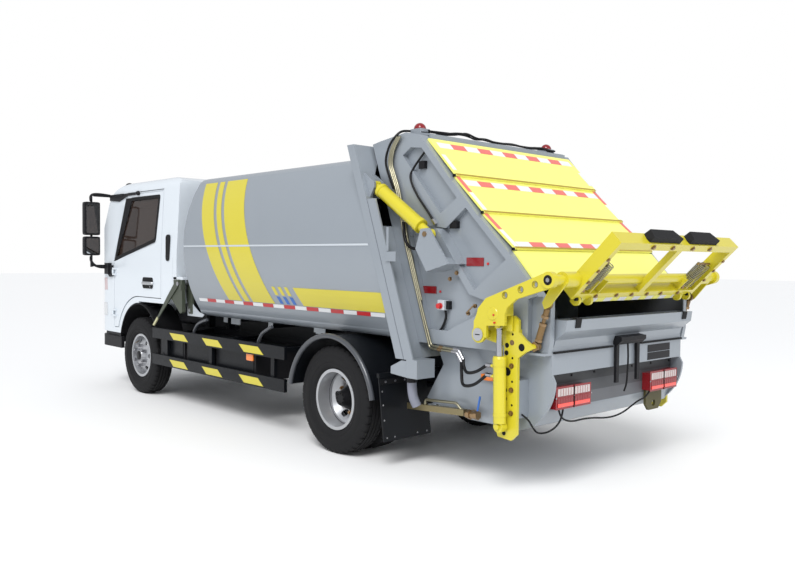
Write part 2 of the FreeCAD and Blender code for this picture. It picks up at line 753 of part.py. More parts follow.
def body_rear_frame():
    plate = ring_strip("ring_plate", 0, S.ring_depth, S.ring_low, S.ring_high, -S.ring_half, S.ring_half)
    mouth = front_slab("ring_mouth", barrel_outline(S.body_wall), behind(1000), ahead(0))
    ring = without("ring", plate, [mouth])
    # Ears that carry the tailgate's pins, and brackets of the lift cylinders
    hinge_x = behind(S.hinge_behind)
    ears = []
    for index, low in enumerate((560, 640)):
        ears.append(side_slab(f"hinge_ear_{index}", [
            (slot_x(S.ring_high, 8), S.ring_high - 5), (slot_x(S.ring_high, S.ring_depth), S.ring_high - 5),
            (hinge_x + 30, HINGE_HEIGHT + 24), (hinge_x - 24, HINGE_HEIGHT + 24),
            (hinge_x - 24, HINGE_HEIGHT - 12)], low, low + 22))
    pin = rod("hinge_pin", "y", (hinge_x, 555, HINGE_HEIGHT), 112, S.hinge_pin)
    x = behind(S.lift_pin_behind)
    z = S.lift_pin_height
    brackets = []
    for index, low in enumerate((S.lift_half - 46, S.lift_half + 28)):
        brackets.append(side_slab(f"lift_ear_{index}", [
            (slot_x(z - 90, 4), z - 90), (slot_x(z - 90, 60), z - 90), (slot_x(z + 90, 60), z + 90),
            (slot_x(z + 90, 4), z + 90), (x - 34, z + 20), (x - 34, z - 20)], low, low + 18))
    stub = rod("lift_stub", "y", (x, S.lift_half - 46, z), 92, 16)
    left = fused("ring_fittings", ears + [pin] + brackets + [stub])
    return fused("rear_ring", [ring, left, mirrored("ring_fittings_right", left)])


keep("body_rear_frame", body_rear_frame())


# Tail

def tail_outline():
    """Side view of the tail above the hopper's step, from its top front corner round."""
    return [
        (slot_x(2200, -S.slot_gap - 12.3), 2200), (slot_x(858, -S.slot_gap - 12.3), 858),
        (behind(1754), 858), (behind(1770), 944), (behind(1770), 1190), (behind(1720), 1190),
        (behind(1475), 1463), (behind(1228), 1688), (behind(988), 1932), (behind(751), 2190),
        (behind(726), 2223), (behind(594), 2250), (behind(330), 2214),
    ]


RECESSES = (
    ((565, 2100), (642, 2146), (744, 2134), (1065, 1791), (923, 1699)),
    ((1141, 1727), (1468, 1406), (1222, 1218), (928, 1569)),
    ((1000, 1600), (930, 1500), (1180, 1190), (1300, 1160), (1285, 1081), (1000, 950), (820, 950),
     (640, 1560), (700, 1640)),
    ((1640, 1180), (1640, 872), (1790, 872), (1790, 1176), (1700, 1200)),
)


def tail_sides():
    plate = side_slab("tail_plate", tail_outline(), S.tail_inner, S.tail_half)
    pockets = [side_slab(f"tail_recess_{index}", [(behind(b), z) for b, z in corners],
                         S.tail_skin, S.tail_half + 10)
               for index, corners in enumerate(RECESSES)]
    side = without("tail_side_cut", plate, pockets)
    # Clevis that takes the lift cylinder's rod eye
    x = behind(S.lift_eye_behind)
    z = S.lift_eye_height
    clevis = []
    for index, low in enumerate((S.tail_skin - 10, S.lift_half + 30)):
        high = S.lift_half - 30 if index == 0 else S.lift_half + 46
        clevis.append(side_slab(f"clevis_{index}", [
            (x - 33, z + 38), (x + 38, z + 33), (x + 83, z - 92), (x - 18, z - 237), (x - 206, z - 187)],
            low, high))
    back = side_slab("clevis_back", [
        (x + 60, z - 125), (x - 18, z - 237), (x - 206, z - 187), (x - 160, z - 150), (x - 60, z - 130)],
        S.tail_skin - 10, S.lift_half + 40)
    eye_pin = rod("eye_pin", "y", (x, S.lift_half + 27, z), 10, 16)
    eye_pin_inner = rod("eye_pin_inner", "y", (x, S.lift_half - 37, z), 10, 16)
    left = fused("tail_side_left", [side] + clevis + [back, eye_pin, eye_pin_inner])
    return pair("tail_side_pair", left)


keep("tail_sides", tail_sides())


def tail_frame():
    low = S.ring_low
    gap = S.slot_gap
    outer_low = S.tail_half + S.seat_play
    flange = ring_strip("post_flange", -gap - S.post_depth, S.post_depth, low, S.post_high,
                        S.ring_half - 12, S.ring_half)
    web = ring_strip("post_web", -gap - 12, 12, low, S.post_web_high, outer_low, S.ring_half)
    inner_post = ring_strip("tail_inner_post", -gap - 12, 12, low + 110, 2170,
                            S.tail_inner - 40, S.tail_inner - 0.5)
    head = ring_strip("tail_head", -gap - 12, 12, 2110, 2170, -S.tail_inner + 1, S.tail_inner - 1)
    shelf = side_slab("tail_shelf", [
        (slot_x(2162, -gap - 2), 2150), (slot_x(2162, -gap - 2), 2162), (behind(309), 2162),
        (behind(309), 2205), (behind(322), 2205), (behind(322), 2150)],
        -S.tail_inner + 1, S.tail_inner - 1)
    foot = block("tail_foot", (slot_x(700, -gap - 100), slot_x(700, -gap)), (outer_low, S.ring_half),
                 (640, 760))
    roof = side_slab("tail_roof", [
        (behind(309), 2198), (behind(309), 2212), (behind(594), S.roof_apex), (behind(733), 2238),
        (behind(733), 2224), (behind(594), S.roof_apex - 14)],
        -S.tail_inner + 0.5, S.tail_inner - 0.5)
    hinge_x = behind(S.hinge_behind)
    ear = side_slab("tail_ear", [
        (hinge_x + 20, HINGE_HEIGHT - 14), (hinge_x + 20, HINGE_HEIGHT + 20),
        (hinge_x - 24, HINGE_HEIGHT + 24), (behind(420), HINGE_HEIGHT + 3),
        (behind(420), HINGE_HEIGHT - 21), (hinge_x - 30, HINGE_HEIGHT - 24)], 590, 634)
    ear_bore = rod("tail_ear_bore", "y", (hinge_x, 580, HINGE_HEIGHT), 70, S.hinge_pin + S.pin_play)
    bored = without("tail_ear_bored", ear, [ear_bore])
    left = fused("tail_post_left", [flange, web, foot])
    return fused("tail_frame_body", [left, mirrored("tail_post_right", left), inner_post,
                                     mirrored("tail_inner_post_right", inner_post), head, shelf, roof, bored,
                                     mirrored("tail_ear_right", bored)])


keep("tail_frame", tail_frame())

COVER_LINE = ((751, 2190), (988, 1932), (1228, 1688), (1475, 1463), (1641, 1279))


def rear_cover():
    panels = []
    seat = 0.3
    lip = 16
    for index in range(len(COVER_LINE) - 1):
        (top_back, top), (low_back, low) = COVER_LINE[index], COVER_LINE[index + 1]
        length = math.hypot(low_back - top_back, top - low)
        out_x = (top - low) / length
        out_z = (low_back - top_back) / length
        lap = lip if index < len(COVER_LINE) - 2 else 0
        rise = lip if lap else 2
        ax, az = top_back + out_x * seat, top + out_z * seat
        bx = low_back + out_x * rise + out_z * lap
        bz = low + out_z * rise - out_x * lap
        thick = S.cover_thick
        panels.append(side_slab(f"cover_{index}", [
            (behind(ax), az), (behind(bx), bz), (behind(bx + out_x * thick), bz + out_z * thick),
            (behind(ax + out_x * thick), az + out_z * thick)], -S.cover_half, S.cover_half))
    return grouped("cover", panels)


keep("rear_cover", rear_cover())


def hopper():
    half = S.hopper_half
    bulk = side_slab("hopper_bulk", [
        (behind(822), 940), (behind(822), 858), (behind(893), 719), (behind(744), 483), (behind(757), 462),
        (behind(1142), 392), (behind(1540), 392), (behind(1640), 430), (behind(1690), 520),
        (behind(1690), 742), (behind(1754), 742), (behind(1754), 940)], -half, half)
    cheek = side_slab("hopper_cheek", [
        (behind(1500), 392), (behind(1540), 392, -330), (behind(1777), 700), (behind(1754), 743),
        (behind(1600), 743)], half - 18, half)
    outer = fused("hopper_outer", [bulk, cheek, mirrored("hopper_cheek_right", cheek)])
    inner = side_slab("hopper_inner", [
        (behind(800), 960), (behind(860), 720), (behind(1000), 520), (behind(1250), 430, -560),
        (behind(1660), 700), (behind(1735), 800), (behind(1735), 960)],
        -half + S.hopper_wall, half - S.hopper_wall)
    bin_shell = without("hopper_bin", outer, [inner])
    box = side_slab("hopper_box", [(behind(1716), 900), (behind(1716), 1062), (behind(1844), 1064),
                                   (behind(1835), 998), (behind(1768), 944), (behind(1754), 900)],
                    -half + S.hopper_wall, half - S.hopper_wall)
    return fused("hopper_body", [bin_shell, box])


keep("hopper", hopper())


def rear_lamp_node():
    lamp = front_slab("lamp_box", [(352, 540), (694, 536), (694, 664), (352, 656)],
                      behind(1752), behind(1690) - S.seat_play)
    dome = turned_up("beacon", behind(600), 700, S.roof_apex + S.seat_play, 42, 62)
    left = grouped("lamps_left", [lamp, dome])
    return pair("lamps", left)


def turned_up(name, x, y, z, radius, height):
    base = rod(name + "_base", "z", (x, y, z), height - radius + 8, radius)
    cap = doc.addObject("Part::Sphere", name + "_cap")
    bind(cap, "Radius", radius)
    bind(cap, "Placement.Base.x", x)
    bind(cap, "Placement.Base.y", y)
    bind(cap, "Placement.Base.z", z + height - radius)
    keep_top = rod(name + "_above", "z", (x, y, z), height + 10, radius + 5)
    top = common(name + "_top", [cap, keep_top])
    return fused(name + "_dome", [base, top])


keep("rear_lamps", rear_lamp_node())


TOW_ASIDE = 477


def tow_eye():
    plate = front_slab("tow_plate", [
        (-580, 534), (-580, 440), (-540, 396), (-415, 396), (-375, 440), (-375, 534)],
        behind(1708), behind(1690.5))
    hole = rod("tow_hole", "x", (behind(1720), -TOW_ASIDE, 440), 40, 22)
    return without("tow_body", plate, [hole])


keep("tow_eye", tow_eye())


def rear_bracket():
    """Hooded bracket under the hopper's lip, with two straps down over the rear."""
    hood = side_slab("bracket_hood", [
        (behind(1754.5), 880), (behind(1785), 880), (behind(1815), 906), (behind(1815), 930),
        (behind(1766.5), 936), (behind(1754.5), 899)], -180, 110)
    straps = [block(f"bracket_strap_{index}", (behind(1776), behind(1758)), (low, low + 30), (640, 900))
              for index, low in enumerate((-170, 72))]
    return fused("bracket_body", [hood] + straps)


keep("rear_bracket", rear_bracket())
LEAD_THICK = 11
keep("lead_left", lead("left_lead", [
    (behind(1706), 560, 536), (behind(1706), 564, 480), (behind(1700), 610, 420), (behind(1690), 690, 392),
    (behind(1672), 762, 394), (behind(1664), 800, 436), (behind(1640), 808, 480), (behind(1593), 808, 500)],
    LEAD_THICK))
keep("lead_cross", lead("cross_lead", [
    (behind(1738), 650, 534.5), (behind(1738), 636, 494), (behind(1734), 580, 458),
    (behind(1724), 486, 438),
    (behind(1716), 370, 438), (behind(1712), 250, 429), (behind(1712), 130, 412), (behind(1712), 10, 408),
    (behind(1712), -100, 424), (behind(1714), -190, 454), (behind(1720), -262, 482),
    (behind(1730), -338, 496), (behind(1736), -376, 535.8)], LEAD_THICK))


# Bin lifter

def lifter_brackets():
    low = S.plate_half
    high = S.plate_half + S.plate_thick
    plate = side_slab("lifter_plate", [
        (behind(1496), 1017), (behind(1500), 820), (behind(1443), 401), (behind(1457), 357),
        (behind(1559), 348), (behind(1600), 387), (behind(1600), 836), (behind(1656), 874),
        (behind(1722), 905), (behind(1654), 945), (behind(1605), 986), (behind(1604), 1057),
        (behind(1570), 1081)], low, high)
    web = side_slab("lifter_web", [(behind(1340), 930), (behind(1500), 900), (behind(1500), 1000),
                                   (behind(1370), 1010), (behind(1335), 990)], S.tail_half + 0.3, high)
    seat = block("lifter_seat", (behind(1600), behind(1500)), (S.tail_half + 0.3, low + 1), (900, 1000))
    low_seat = block("lifter_low_seat", (behind(1590), behind(1470)), (S.hopper_half + 0.3, low + 1),
                     (480, 700))
    pivot = rod("arm_pivot", "y", (behind(S.pivot_behind), high - 2, S.pivot_height),
                S.arm_high - high + 6, 26)
    jack_pin = rod("jack_pin", "y", (behind(S.jack_behind), high - 2, S.jack_height), 78, 16)
    foot_pin = rod("link_pin", "y", (behind(S.link_foot_behind), S.link_half - 12, S.link_foot_height),
                   low - S.link_half + 14, 14)
    left = fused("lifter_bracket", [plate, web, seat, low_seat, pivot, jack_pin, foot_pin])
    return pair("lifter_bracket_pair", left)


keep("lifter_brackets", lifter_brackets())


def lifter_arms():
    px, pz = behind(S.pivot_behind), S.pivot_height
    tx, tz = behind(S.tip_behind), S.tip_height
    plate = side_slab("arm_plate", [
        (px - 62, 948), (px - 62, 1018), (px - 200, 1026), (px - 200, 1088), (px - 216, 1130),
        (px - 280, 1182), (tx - 12, tz - 44, 46), (tx + 14, tz + 44), (px - 55, 1179),
        (px + 5, 1117, 260), (px + 36, 1040), (px + 38, 950)], S.arm_low, S.arm_high)
    eye = rod("arm_eye", "y", (px, S.arm_low, pz), S.arm_high - S.arm_low, 50)
    tip = rod("arm_tip", "y", (tx, S.arm_low - 10, tz), S.arm_high - S.arm_low + 20, 46)
    ear = side_slab("arm_ear", [(px - 62, 990), (px - 62, 1150), (px - 200, 1150), (px - 200, 990)],
                    S.plate_half + 27, S.plate_half + 37)
    bridge = block("arm_bridge", (px - 200, px - 62), (S.plate_half + 27, S.arm_high - 1), (1082, 1150))
    rod_pin = rod("rod_pin", "y", (behind(S.rod_eye_behind), S.arm_low - 12, S.rod_eye_height), 16, 14)
    rod_pin_inner = rod("rod_pin_inner", "y", (behind(S.rod_eye_behind), S.plate_half + 30, S.rod_eye_height),
                        24, 14)
    whole = fused("arm_solid", [plate, eye, tip, ear, bridge])
    bore = rod("arm_bore", "y", (px, S.arm_low - 10, pz), 60, 26 + S.pin_play)
    holes = [rod(f"arm_hole_{index}", "y", (behind(b), S.arm_low - 20, z), 60, 17)
             for index, (b, z) in enumerate(((1569, 1202), (1683, 1238), (1783, 1270)))]
    arm = without("arm_bored", whole, [bore] + holes)
    left = fused("arm_left", [arm, rod_pin, rod_pin_inner])
    tube = rod("arm_tube", "y", (tx, -S.arm_low, tz), S.arm_low * 2, S.arm_tube)
    return fused("arms", [left, mirrored("arm_right", left), tube])


keep("lifter_arms", lifter_arms())


def along_frame(low, up):
    """A point of the tipping frame: low along its slope from the tip, up across it, in X and Z."""
    slope = math.sqrt(0.5)
    x = behind(S.tip_behind) - (low + up * -1) * slope
    z = S.tip_height + (low + up) * slope
    return x, z


def frame_bar(name, low, high, down, up, y_low, y_high):
    return side_slab(name, [along_frame(low, down), along_frame(high, down), along_frame(high, up),
                            along_frame(low, up)], y_low, y_high)


LINK_HEAD_HEIGHT = S.link_foot_height + S.link_head_rise


def lifter_frame():
    half = S.frame_half
    down = -60
    up = 26
    side = frame_bar("frame_side", -98, 352, down, up, half - 43, half)
    top = frame_bar("frame_top", 300, 352, down, up, -half, half)
    middle = frame_bar("frame_middle", -60, 340, down, down + 40, -28, 28)
    lower = frame_bar("frame_lower", -98, -58, down, up, -half, half)
    comb = frame_bar("frame_comb", -146, -90, down + 14, down + 28, -half + 60, half - 60)
    boss = rod("frame_boss", "y", (behind(S.tip_behind), half - 44, S.tip_height), 172, 46)
    lever = side_slab("frame_lever", [
        (behind(S.tip_behind) - 40, S.tip_height - 20), (behind(S.tip_behind) + 20, S.tip_height + 40),
        (behind(S.link_head_behind) + 26, LINK_HEAD_HEIGHT + 10),
        (behind(S.link_head_behind) + 10, LINK_HEAD_HEIGHT - 26),
        (behind(S.link_head_behind) - 26, LINK_HEAD_HEIGHT - 10)], S.link_half + 16, S.link_half + 26)
    left = fused("frame_left", [side, boss, lever])
    whole = fused("frame_body", [left, mirrored("frame_right", left), top, middle, lower, comb])
    bore = rod("frame_bore", "y", (behind(S.tip_behind), -S.arm_low, S.tip_height), S.arm_low * 2,
               S.arm_tube + S.pin_play)
    return without("frame_bored", whole, [bore])


keep("lifter_frame", lifter_frame())


def bin_pads():
    """Two rubber pads on the top bar, narrower at their free edge."""
    pads = []
    for name, low in (("left", 60), ("right", -400)):
        high = low + 340
        base = frame_bar(f"pad_bar_{name}", 352.3, 392, -50, 20, low, high)
        taper = front_slab(f"pad_taper_{name}", [(low, 1480), (high, 1480), (high, 1532), (high - 50, 1600),
                                                 (low + 50, 1600), (low, 1532)], behind(2300), behind(2050))
        pads.append(common(f"pad_{name}", [base, taper]))
    return grouped("pads", pads)


keep("bin_pads", bin_pads())


def lifter_barrels():
    x, z = behind(S.jack_behind), S.jack_height
    top = (behind(S.rod_eye_behind), S.rod_eye_height)
    y = S.jack_half
    tube = slant_rod("jack_tube", (x, z), top, y, S.jack_tube, skip=20, length=S.jack_tube_length)
    bore = slant_rod("jack_bore", (x, z), top, y, S.jack_rod + S.pin_play, skip=60, length=S.jack_tube_length)
    eye = rod("jack_eye", "y", (x, y - 26, z), 44, 34)
    pin_bore = rod("jack_pin_bore", "y", (x, y - 40, z), 100, 16 + S.pin_play)
    return pair("jack_barrels", without("jack_barrel", fused("jack_barrel_body", [tube, eye]),
                                        [bore, pin_bore]))


keep("lifter_barrels", lifter_barrels())


def lifter_rods():
    base = (behind(S.jack_behind), S.jack_height)
    top = (behind(S.rod_eye_behind), S.rod_eye_height)
    y = S.jack_half
    length = reach(top[0] - base[0], top[1] - base[1])
    stem = slant_rod("jack_stem", base, top, y, S.jack_rod, skip=200, length=length - 222)
    eye = rod("jack_rod_eye", "y", (top[0], y - 8, top[1]), 16, 24)
    hole = rod("jack_rod_hole", "y", (top[0], y - 20, top[1]), 40, 15)
    return pair("jack_rods", without("jack_rod_bored", fused("jack_rod_body", [stem, eye]), [hole]))


keep("lifter_rods", lifter_rods())


def lifter_links():
    foot = (behind(S.link_foot_behind), S.link_foot_height)
    head = (behind(S.link_head_behind), LINK_HEAD_HEIGHT)
    y = S.link_half
    stem = slant_rod("link_stem", foot, head, y, 11)
    eyes = [rod(f"link_eye_{index}", "y", (spot[0], y - 9, spot[1]), 18, 26)
            for index, spot in enumerate((foot, head))]
    holes = [rod("link_hole_0", "y", (foot[0], y - 20, foot[1]), 40, 14 + S.pin_play),
             rod("link_hole_1", "y", (head[0], y - 20, head[1]), 40, 15)]
    return pair("links", without("link_bored", fused("link_body", [stem] + eyes), holes))


keep("lifter_links", lifter_links())


# Tail lift cylinders

def tail_barrels():
    base = (behind(S.lift_pin_behind), S.lift_pin_height)
    eye = (behind(S.lift_eye_behind), S.lift_eye_height)
    y = S.lift_half
    tube = slant_rod("lift_tube", base, eye, y, S.lift_tube, skip=66, length=S.lift_tube_length)
    neck = slant_rod("lift_neck", base, eye, y, 22, skip=20, length=60)
    bore = slant_rod("lift_bore", base, eye, y, S.lift_rod + S.pin_play, skip=86, length=S.lift_tube_length)
    lug = rod("lift_lug", "y", (base[0], y - 24, base[1]), 48, 30)
    pin_bore = rod("lift_pin_bore", "y", (base[0], y - 60, base[1]), 120, 16 + S.pin_play)
    return pair("lift_barrels", without("lift_barrel", fused("lift_barrel_body", [tube, neck, lug]),
                                        [bore, pin_bore]))


keep("tail_barrels", tail_barrels())


def tail_rods():
    base = (behind(S.lift_pin_behind), S.lift_pin_height)
    eye = (behind(S.lift_eye_behind), S.lift_eye_height)
    y = S.lift_half
    length = reach(eye[0] - base[0], eye[1] - base[1])
    stem = slant_rod("lift_stem", base, eye, y, S.lift_rod, skip=96, length=length - 116)
    lug = rod("lift_rod_eye", "y", (eye[0], y - 18, eye[1]), 36, 34)
    hole = rod("lift_rod_hole", "y", (eye[0], y - 40, eye[1]), 80, 17)
    return pair("lift_rods", without("lift_rod_bored", fused("lift_rod_body", [stem, lug]), [hole]))


keep("tail_rods", tail_rods())


# Cab

def cab_side_outline(inset, low):
    floor = S.cab_floor + inset
    front = fore(S.cab_front) - inset
    roof = S.cab_roof - inset
    rear = fore(S.cab_rear) + inset
    return [
        (fore(S.arch_ahead) + leg(S.arch_radius + inset, low - S.arch_height), low), (front, low),
        (front, S.screen_foot), (fore(S.screen_top_ahead) - inset, S.screen_top, 560),
        (fore(392) - inset, roof - 6, 8000), (fore(-548), roof, 900), (rear, roof - 46),
        (rear, 1088 + inset), (fore(-599) + inset, floor), (fore(S.arch_ahead), floor),
        (fore(S.arch_ahead), S.arch_height + S.arch_radius + inset, -S.arch_radius - inset),
    ]


def cab_plan_outline(inset):
    half = S.cab_half - inset
    front = fore(S.cab_front) - inset
    bend = S.corner_radius - inset
    rear = fore(S.cab_rear) + inset
    return [(rear, -half), (front - bend, -half, bend), (front, -half + bend), (front, half - bend, bend),
            (front - bend, half), (rear, half)]


def cab_front_outline(inset):
    half = S.cab_half - inset
    top = S.cab_roof - inset
    bend = S.eave_radius
    lean = 34
    return [(-half, 500), (half, 500), (half, 1400), (half - lean, top - bend, bend),
            (half - lean - bend, top), (-half + lean + bend, top, bend), (-half + lean, top - bend),
            (-half, 1400)]


def cab_form(name, inset, low=S.cab_low):
    side = side_slab(name + "_side", cab_side_outline(inset, low), -1000, 1000)
    plan = plan_slab(name + "_plan", cab_plan_outline(inset), 400, 2400)
    front = front_slab(name + "_front", cab_front_outline(inset), fore(-1008), fore(1192))
    return common(name, [side, plan, front])


def screen_outline(inset):
    low = S.screen_foot + 25 + inset
    high = S.screen_top - 30 - inset
    return [(-790 + inset, low), (790 - inset, low), (740 - inset, high), (-740 + inset, high)]


def rear_window_outline(inset):
    return [(-480 + inset, 1480 + inset), (480 - inset, 1480 + inset), (480 - inset, 1900 - inset),
            (-480 + inset, 1900 - inset)]


def door_outline(inset):
    front = fore(S.door_front) - inset
    return [
        (fore(S.door_rear) + inset, 990 + inset), (fore(S.arch_ahead), 990 + inset, -500),
        (fore(457) + inset * 2.5, 645 + inset), (front, 645 + inset), (front, 1390),
        (fore(312) - inset, S.door_top - inset), (fore(S.door_rear) + inset, S.door_top - inset),
    ]


def side_window_outline(inset):
    return [(fore(546) - inset, 1368 + inset), (fore(214) - inset, 2000 - inset),
            (fore(-425) + inset, 2000 - inset), (fore(-372) + inset, 1563 + inset)]


def lamp_outline(inset):
    return [(560 + inset, 730 + inset), (910, 760 + inset), (910, 900 - inset), (560 + inset, 860 - inset)]


tunnel_half = 335
tunnel_front = fore(522)
under_front = block("under_front", (fore(-158), fore(S.cab_front) - S.cab_wall),
                    both(S.cab_half - S.cab_wall), (400, S.cab_deck))
tunnel = block("tunnel", (fore(-408), tunnel_front), both(tunnel_half), (400, S.cab_floor))
tunnel_skin = block("tunnel_skin", (fore(-508), tunnel_front + S.cab_wall), both(tunnel_half + S.cab_wall),
                    (400, S.cab_floor + S.cab_wall))
outer_form = without("cab_body", cab_form("cab_outer", 0), [under_front, tunnel])
inner_form = without("cab_room", cab_form("cab_inner", S.cab_wall, S.cab_deck + S.cab_wall), [tunnel_skin])
glass_outer = cab_form("glass_outer", S.glass_inset)
glass_inner = cab_form("glass_inner", S.glass_inset + S.glass_thick)
cab_skin = without("cab_skin", outer_form, [inner_form])
glass_skin = without("glass_skin", glass_outer, [glass_inner])

screen_hole = front_slab("screen_hole", screen_outline(0), fore(592), fore(1192))
rear_hole = front_slab("rear_hole", rear_window_outline(0), fore(-908), fore(-708))
door_reach = (fore(-700), fore(700))
door_depth = front_slab("door_depth", cab_front_outline(S.cab_wall + S.door_gap), *door_reach)
door_hole = without("door_hole", side_slab("door_hole_slab", door_outline(0), 600, 1000), [door_depth])
door_hole_right = mirrored("door_hole_right", door_hole)
HINGE_HEIGHTS = (800, 1240)
HINGE_OUT = 14
HINGE_ROUND = 9


def door_hinges():
    """Pins on the door, each carried by a leaf above and below the cab's knuckle."""
    x = fore(S.door_front) + 1
    y = S.cab_half + HINGE_OUT
    pieces = []
    for index, z in enumerate(HINGE_HEIGHTS):
        pieces.append(rod(f"door_pin_{index}", "z", (x, y, z - 34), 68, 6))
        for side, low in (("low", z - 40), ("high", z + 20.4)):
            pieces.append(rod(f"door_barrel_{index}_{side}", "z", (x, y, low), 19.6, HINGE_ROUND))
            pieces.append(block(f"door_leaf_{index}_{side}", (x - 60, x - 1),
                                (S.cab_half + S.seat_play, y + 7), (low, low + 19.6)))
            pieces.append(block(f"door_foot_{index}_{side}", (x - 60, x - 12), (S.cab_half - 4, y),
                                (low, low + 19.6)))
    return pieces


def cab_knuckles():
    x = fore(S.door_front) + 1
    y = S.cab_half + HINGE_OUT
    pieces = []
    for index, z in enumerate(HINGE_HEIGHTS):
        leaf = fused(f"cab_leaf_{index}", [
            block(f"cab_leaf_plate_{index}", (x + 1, x + 55), (S.cab_half - 4, y + 7), (z - 20, z + 20)),
            rod(f"cab_barrel_{index}", "z", (x, y, z - 20), 40, HINGE_ROUND)])
        bore = rod(f"cab_leaf_bore_{index}", "z", (x, y, z - 30), 60, 6 + S.pin_play)
        notch = block(f"cab_leaf_notch_{index}", (x - 12, x + 5), (S.cab_half - 10, S.cab_half + 0.5),
                      (z - 30, z + 30))
        pieces.append(without(f"cab_knuckle_{index}", leaf, [bore, notch]))
    return pieces


lamp_hole = front_slab("lamp_hole", lamp_outline(0), fore(742), fore(1092))
knuckles = grouped("cab_knuckles", cab_knuckles())


def tilt_lug():
    """Eye behind the cab's front wall that turns on the bumper mount's pin."""
    x = fore(S.tilt_ahead)
    low = S.rail_outer + 5
    plate = block("tilt_plate", (x, fore(S.cab_front) - S.cab_wall + 5), (low, low + 40),
                  (S.tilt_height - 20, S.tilt_height + 20))
    eye = rod("tilt_eye", "y", (x, low, S.tilt_height), 40, 25)
    bore = rod("tilt_bore", "y", (x, low - 10, S.tilt_height), 60, TILT_PIN + S.pin_play)
    return without("tilt_lug", fused("tilt_lug_body", [plate, eye]), [bore])


left_lug = tilt_lug()
keep("cab_shell", fused("cab_whole", [
    without("cab_open", cab_skin, [screen_hole, rear_hole, door_hole, door_hole_right, lamp_hole,
                                   mirrored("lamp_hole_right", lamp_hole)]),
    knuckles, mirrored("cab_knuckles_right", knuckles), left_lug, mirrored("tilt_lug_right", left_lug)]))

screen_slab = front_slab("screen_slab", screen_outline(S.glass_play), fore(592), fore(1192))
rear_slab = front_slab("rear_slab", rear_window_outline(S.glass_play), fore(-908), fore(-708))
keep("cab_glass", grouped("cab_panes", [common("screen_pane", [glass_skin, screen_slab]),
                                        common("rear_pane", [glass_skin, rear_slab])]))

window_hole = side_slab("window_hole", side_window_outline(0), 600, 1000)
door_slab = side_slab("door_slab", door_outline(S.door_gap), 600, 1000)
door_outer = front_slab("door_outer", cab_front_outline(0), *door_reach)
door_inner = front_slab("door_inner", cab_front_outline(S.cab_wall), *door_reach)
door_leaf = without("door_panel", common("door_skin", [door_outer, door_slab]), [door_inner, window_hole])
door_panel = fused("door_hung", [door_leaf] + door_hinges())
window_slab = side_slab("window_slab", side_window_outline(S.glass_play), 600, 1000)
door_pane = common("door_pane", [glass_skin, window_slab])
keep("door_left", door_panel)
keep("door_right", mirrored("door_panel_right", door_panel))
keep("door_glass_left", door_pane)
keep("door_glass_right", mirrored("door_pane_right", door_pane))


def dashboard():
    front = fore(S.cab_front) - S.cab_wall - S.seat_play
    board = side_slab("board", [(fore(752), 1000), (front, 1000), (front, 1290), (fore(792), 1320),
                                (fore(652), 1230), (fore(652), 1130)], -620, 620)
    post = slant_rod("column", (fore(692), 1120), (fore(482), 1330), 380, 26)
    wheel = doc.addObject("Part::Torus", "steering_ring")
    wheel.Placement = FreeCAD.Placement(FreeCAD.Vector(), FreeCAD.Rotation(FreeCAD.Vector(0, 1, 0), -42))
    bind(wheel, "Radius1", 215)
    bind(wheel, "Radius2", 15)
    bind(wheel, "Placement.Base.x", fore(492))
    bind(wheel, "Placement.Base.y", 380)
    bind(wheel, "Placement.Base.z", 1322)
    spoke = rod("spoke", "y", (fore(492), 170, 1322), 420, 12)
    return fused("dash", [board, post, wheel, spoke])


keep("dashboard", dashboard())


def seats():
    pieces = []
    for name, low, high in (("driver", 150, 640), ("middle", -140, 140), ("mate", -640, -150)):
        pieces.append(side_slab(f"seat_{name}", [
            (fore(-408), 985.5), (fore(112), 985.5), (fore(112), 1210), (fore(82), 1230),
            (fore(-298), 1210), (fore(-458), 1780), (fore(-548), 1780), (fore(-448), 1180)], low, high))
    return grouped("seat_row", pieces)


keep("seats", seats())


def mirrors():
    x = fore(732)
    main = block("mirror_main", (x - 35, x + 35), (1005, 1165), (1632, 1975))
    small = block("mirror_small", (x - 35, x + 35), (1005, 1165), (1415, 1606))
    stem = rod("mirror_stem", "z", (x, 1085, 1286), 768, 12)
    high = rod("mirror_high", "y", (x, S.cab_half - 29, 2050), 190, 10)
    foot = rod("mirror_low", "y", (x, S.cab_half + 20, 1300), 170, 10)
    plate = block("mirror_foot", (fore(642), x + 10), (S.cab_half + S.seat_play, S.cab_half + 40),
                  (1210, 1330))
    rail = block("mirror_rail", (fore(392), x + 14), (S.cab_half - 32.1, S.cab_half - 12), (2040, 2064))
    return pair("mirror_pair", fused("mirror_left", [main, small, stem, high, foot, plate, rail]))


keep("mirrors", mirrors())


def grille():
    slats = []
    front = fore(S.cab_front)
    for index in range(6):
        low = S.cab_floor + 10 + index * 42
        slats.append(side_slab(f"slat_{index}", [
            (front + S.seat_play, low), (front + 5, low), (front + S.seat_play, low + 26)], -480, 480))
    return grouped("slats", slats)


keep("grille", grille())

lamp_limit = cab_form("lamp_limit", -6)
lamp_back = cab_form("lamp_back", S.cab_wall - 4)
lamp_window = front_slab("lamp_window", lamp_outline(S.glass_play), fore(742), fore(1092))
lamp_lens = common("headlamp_lens", [lamp_limit, lamp_window])
keep("headlamps", pair("headlamp_pair", without("headlamp", lamp_lens, [lamp_back])))


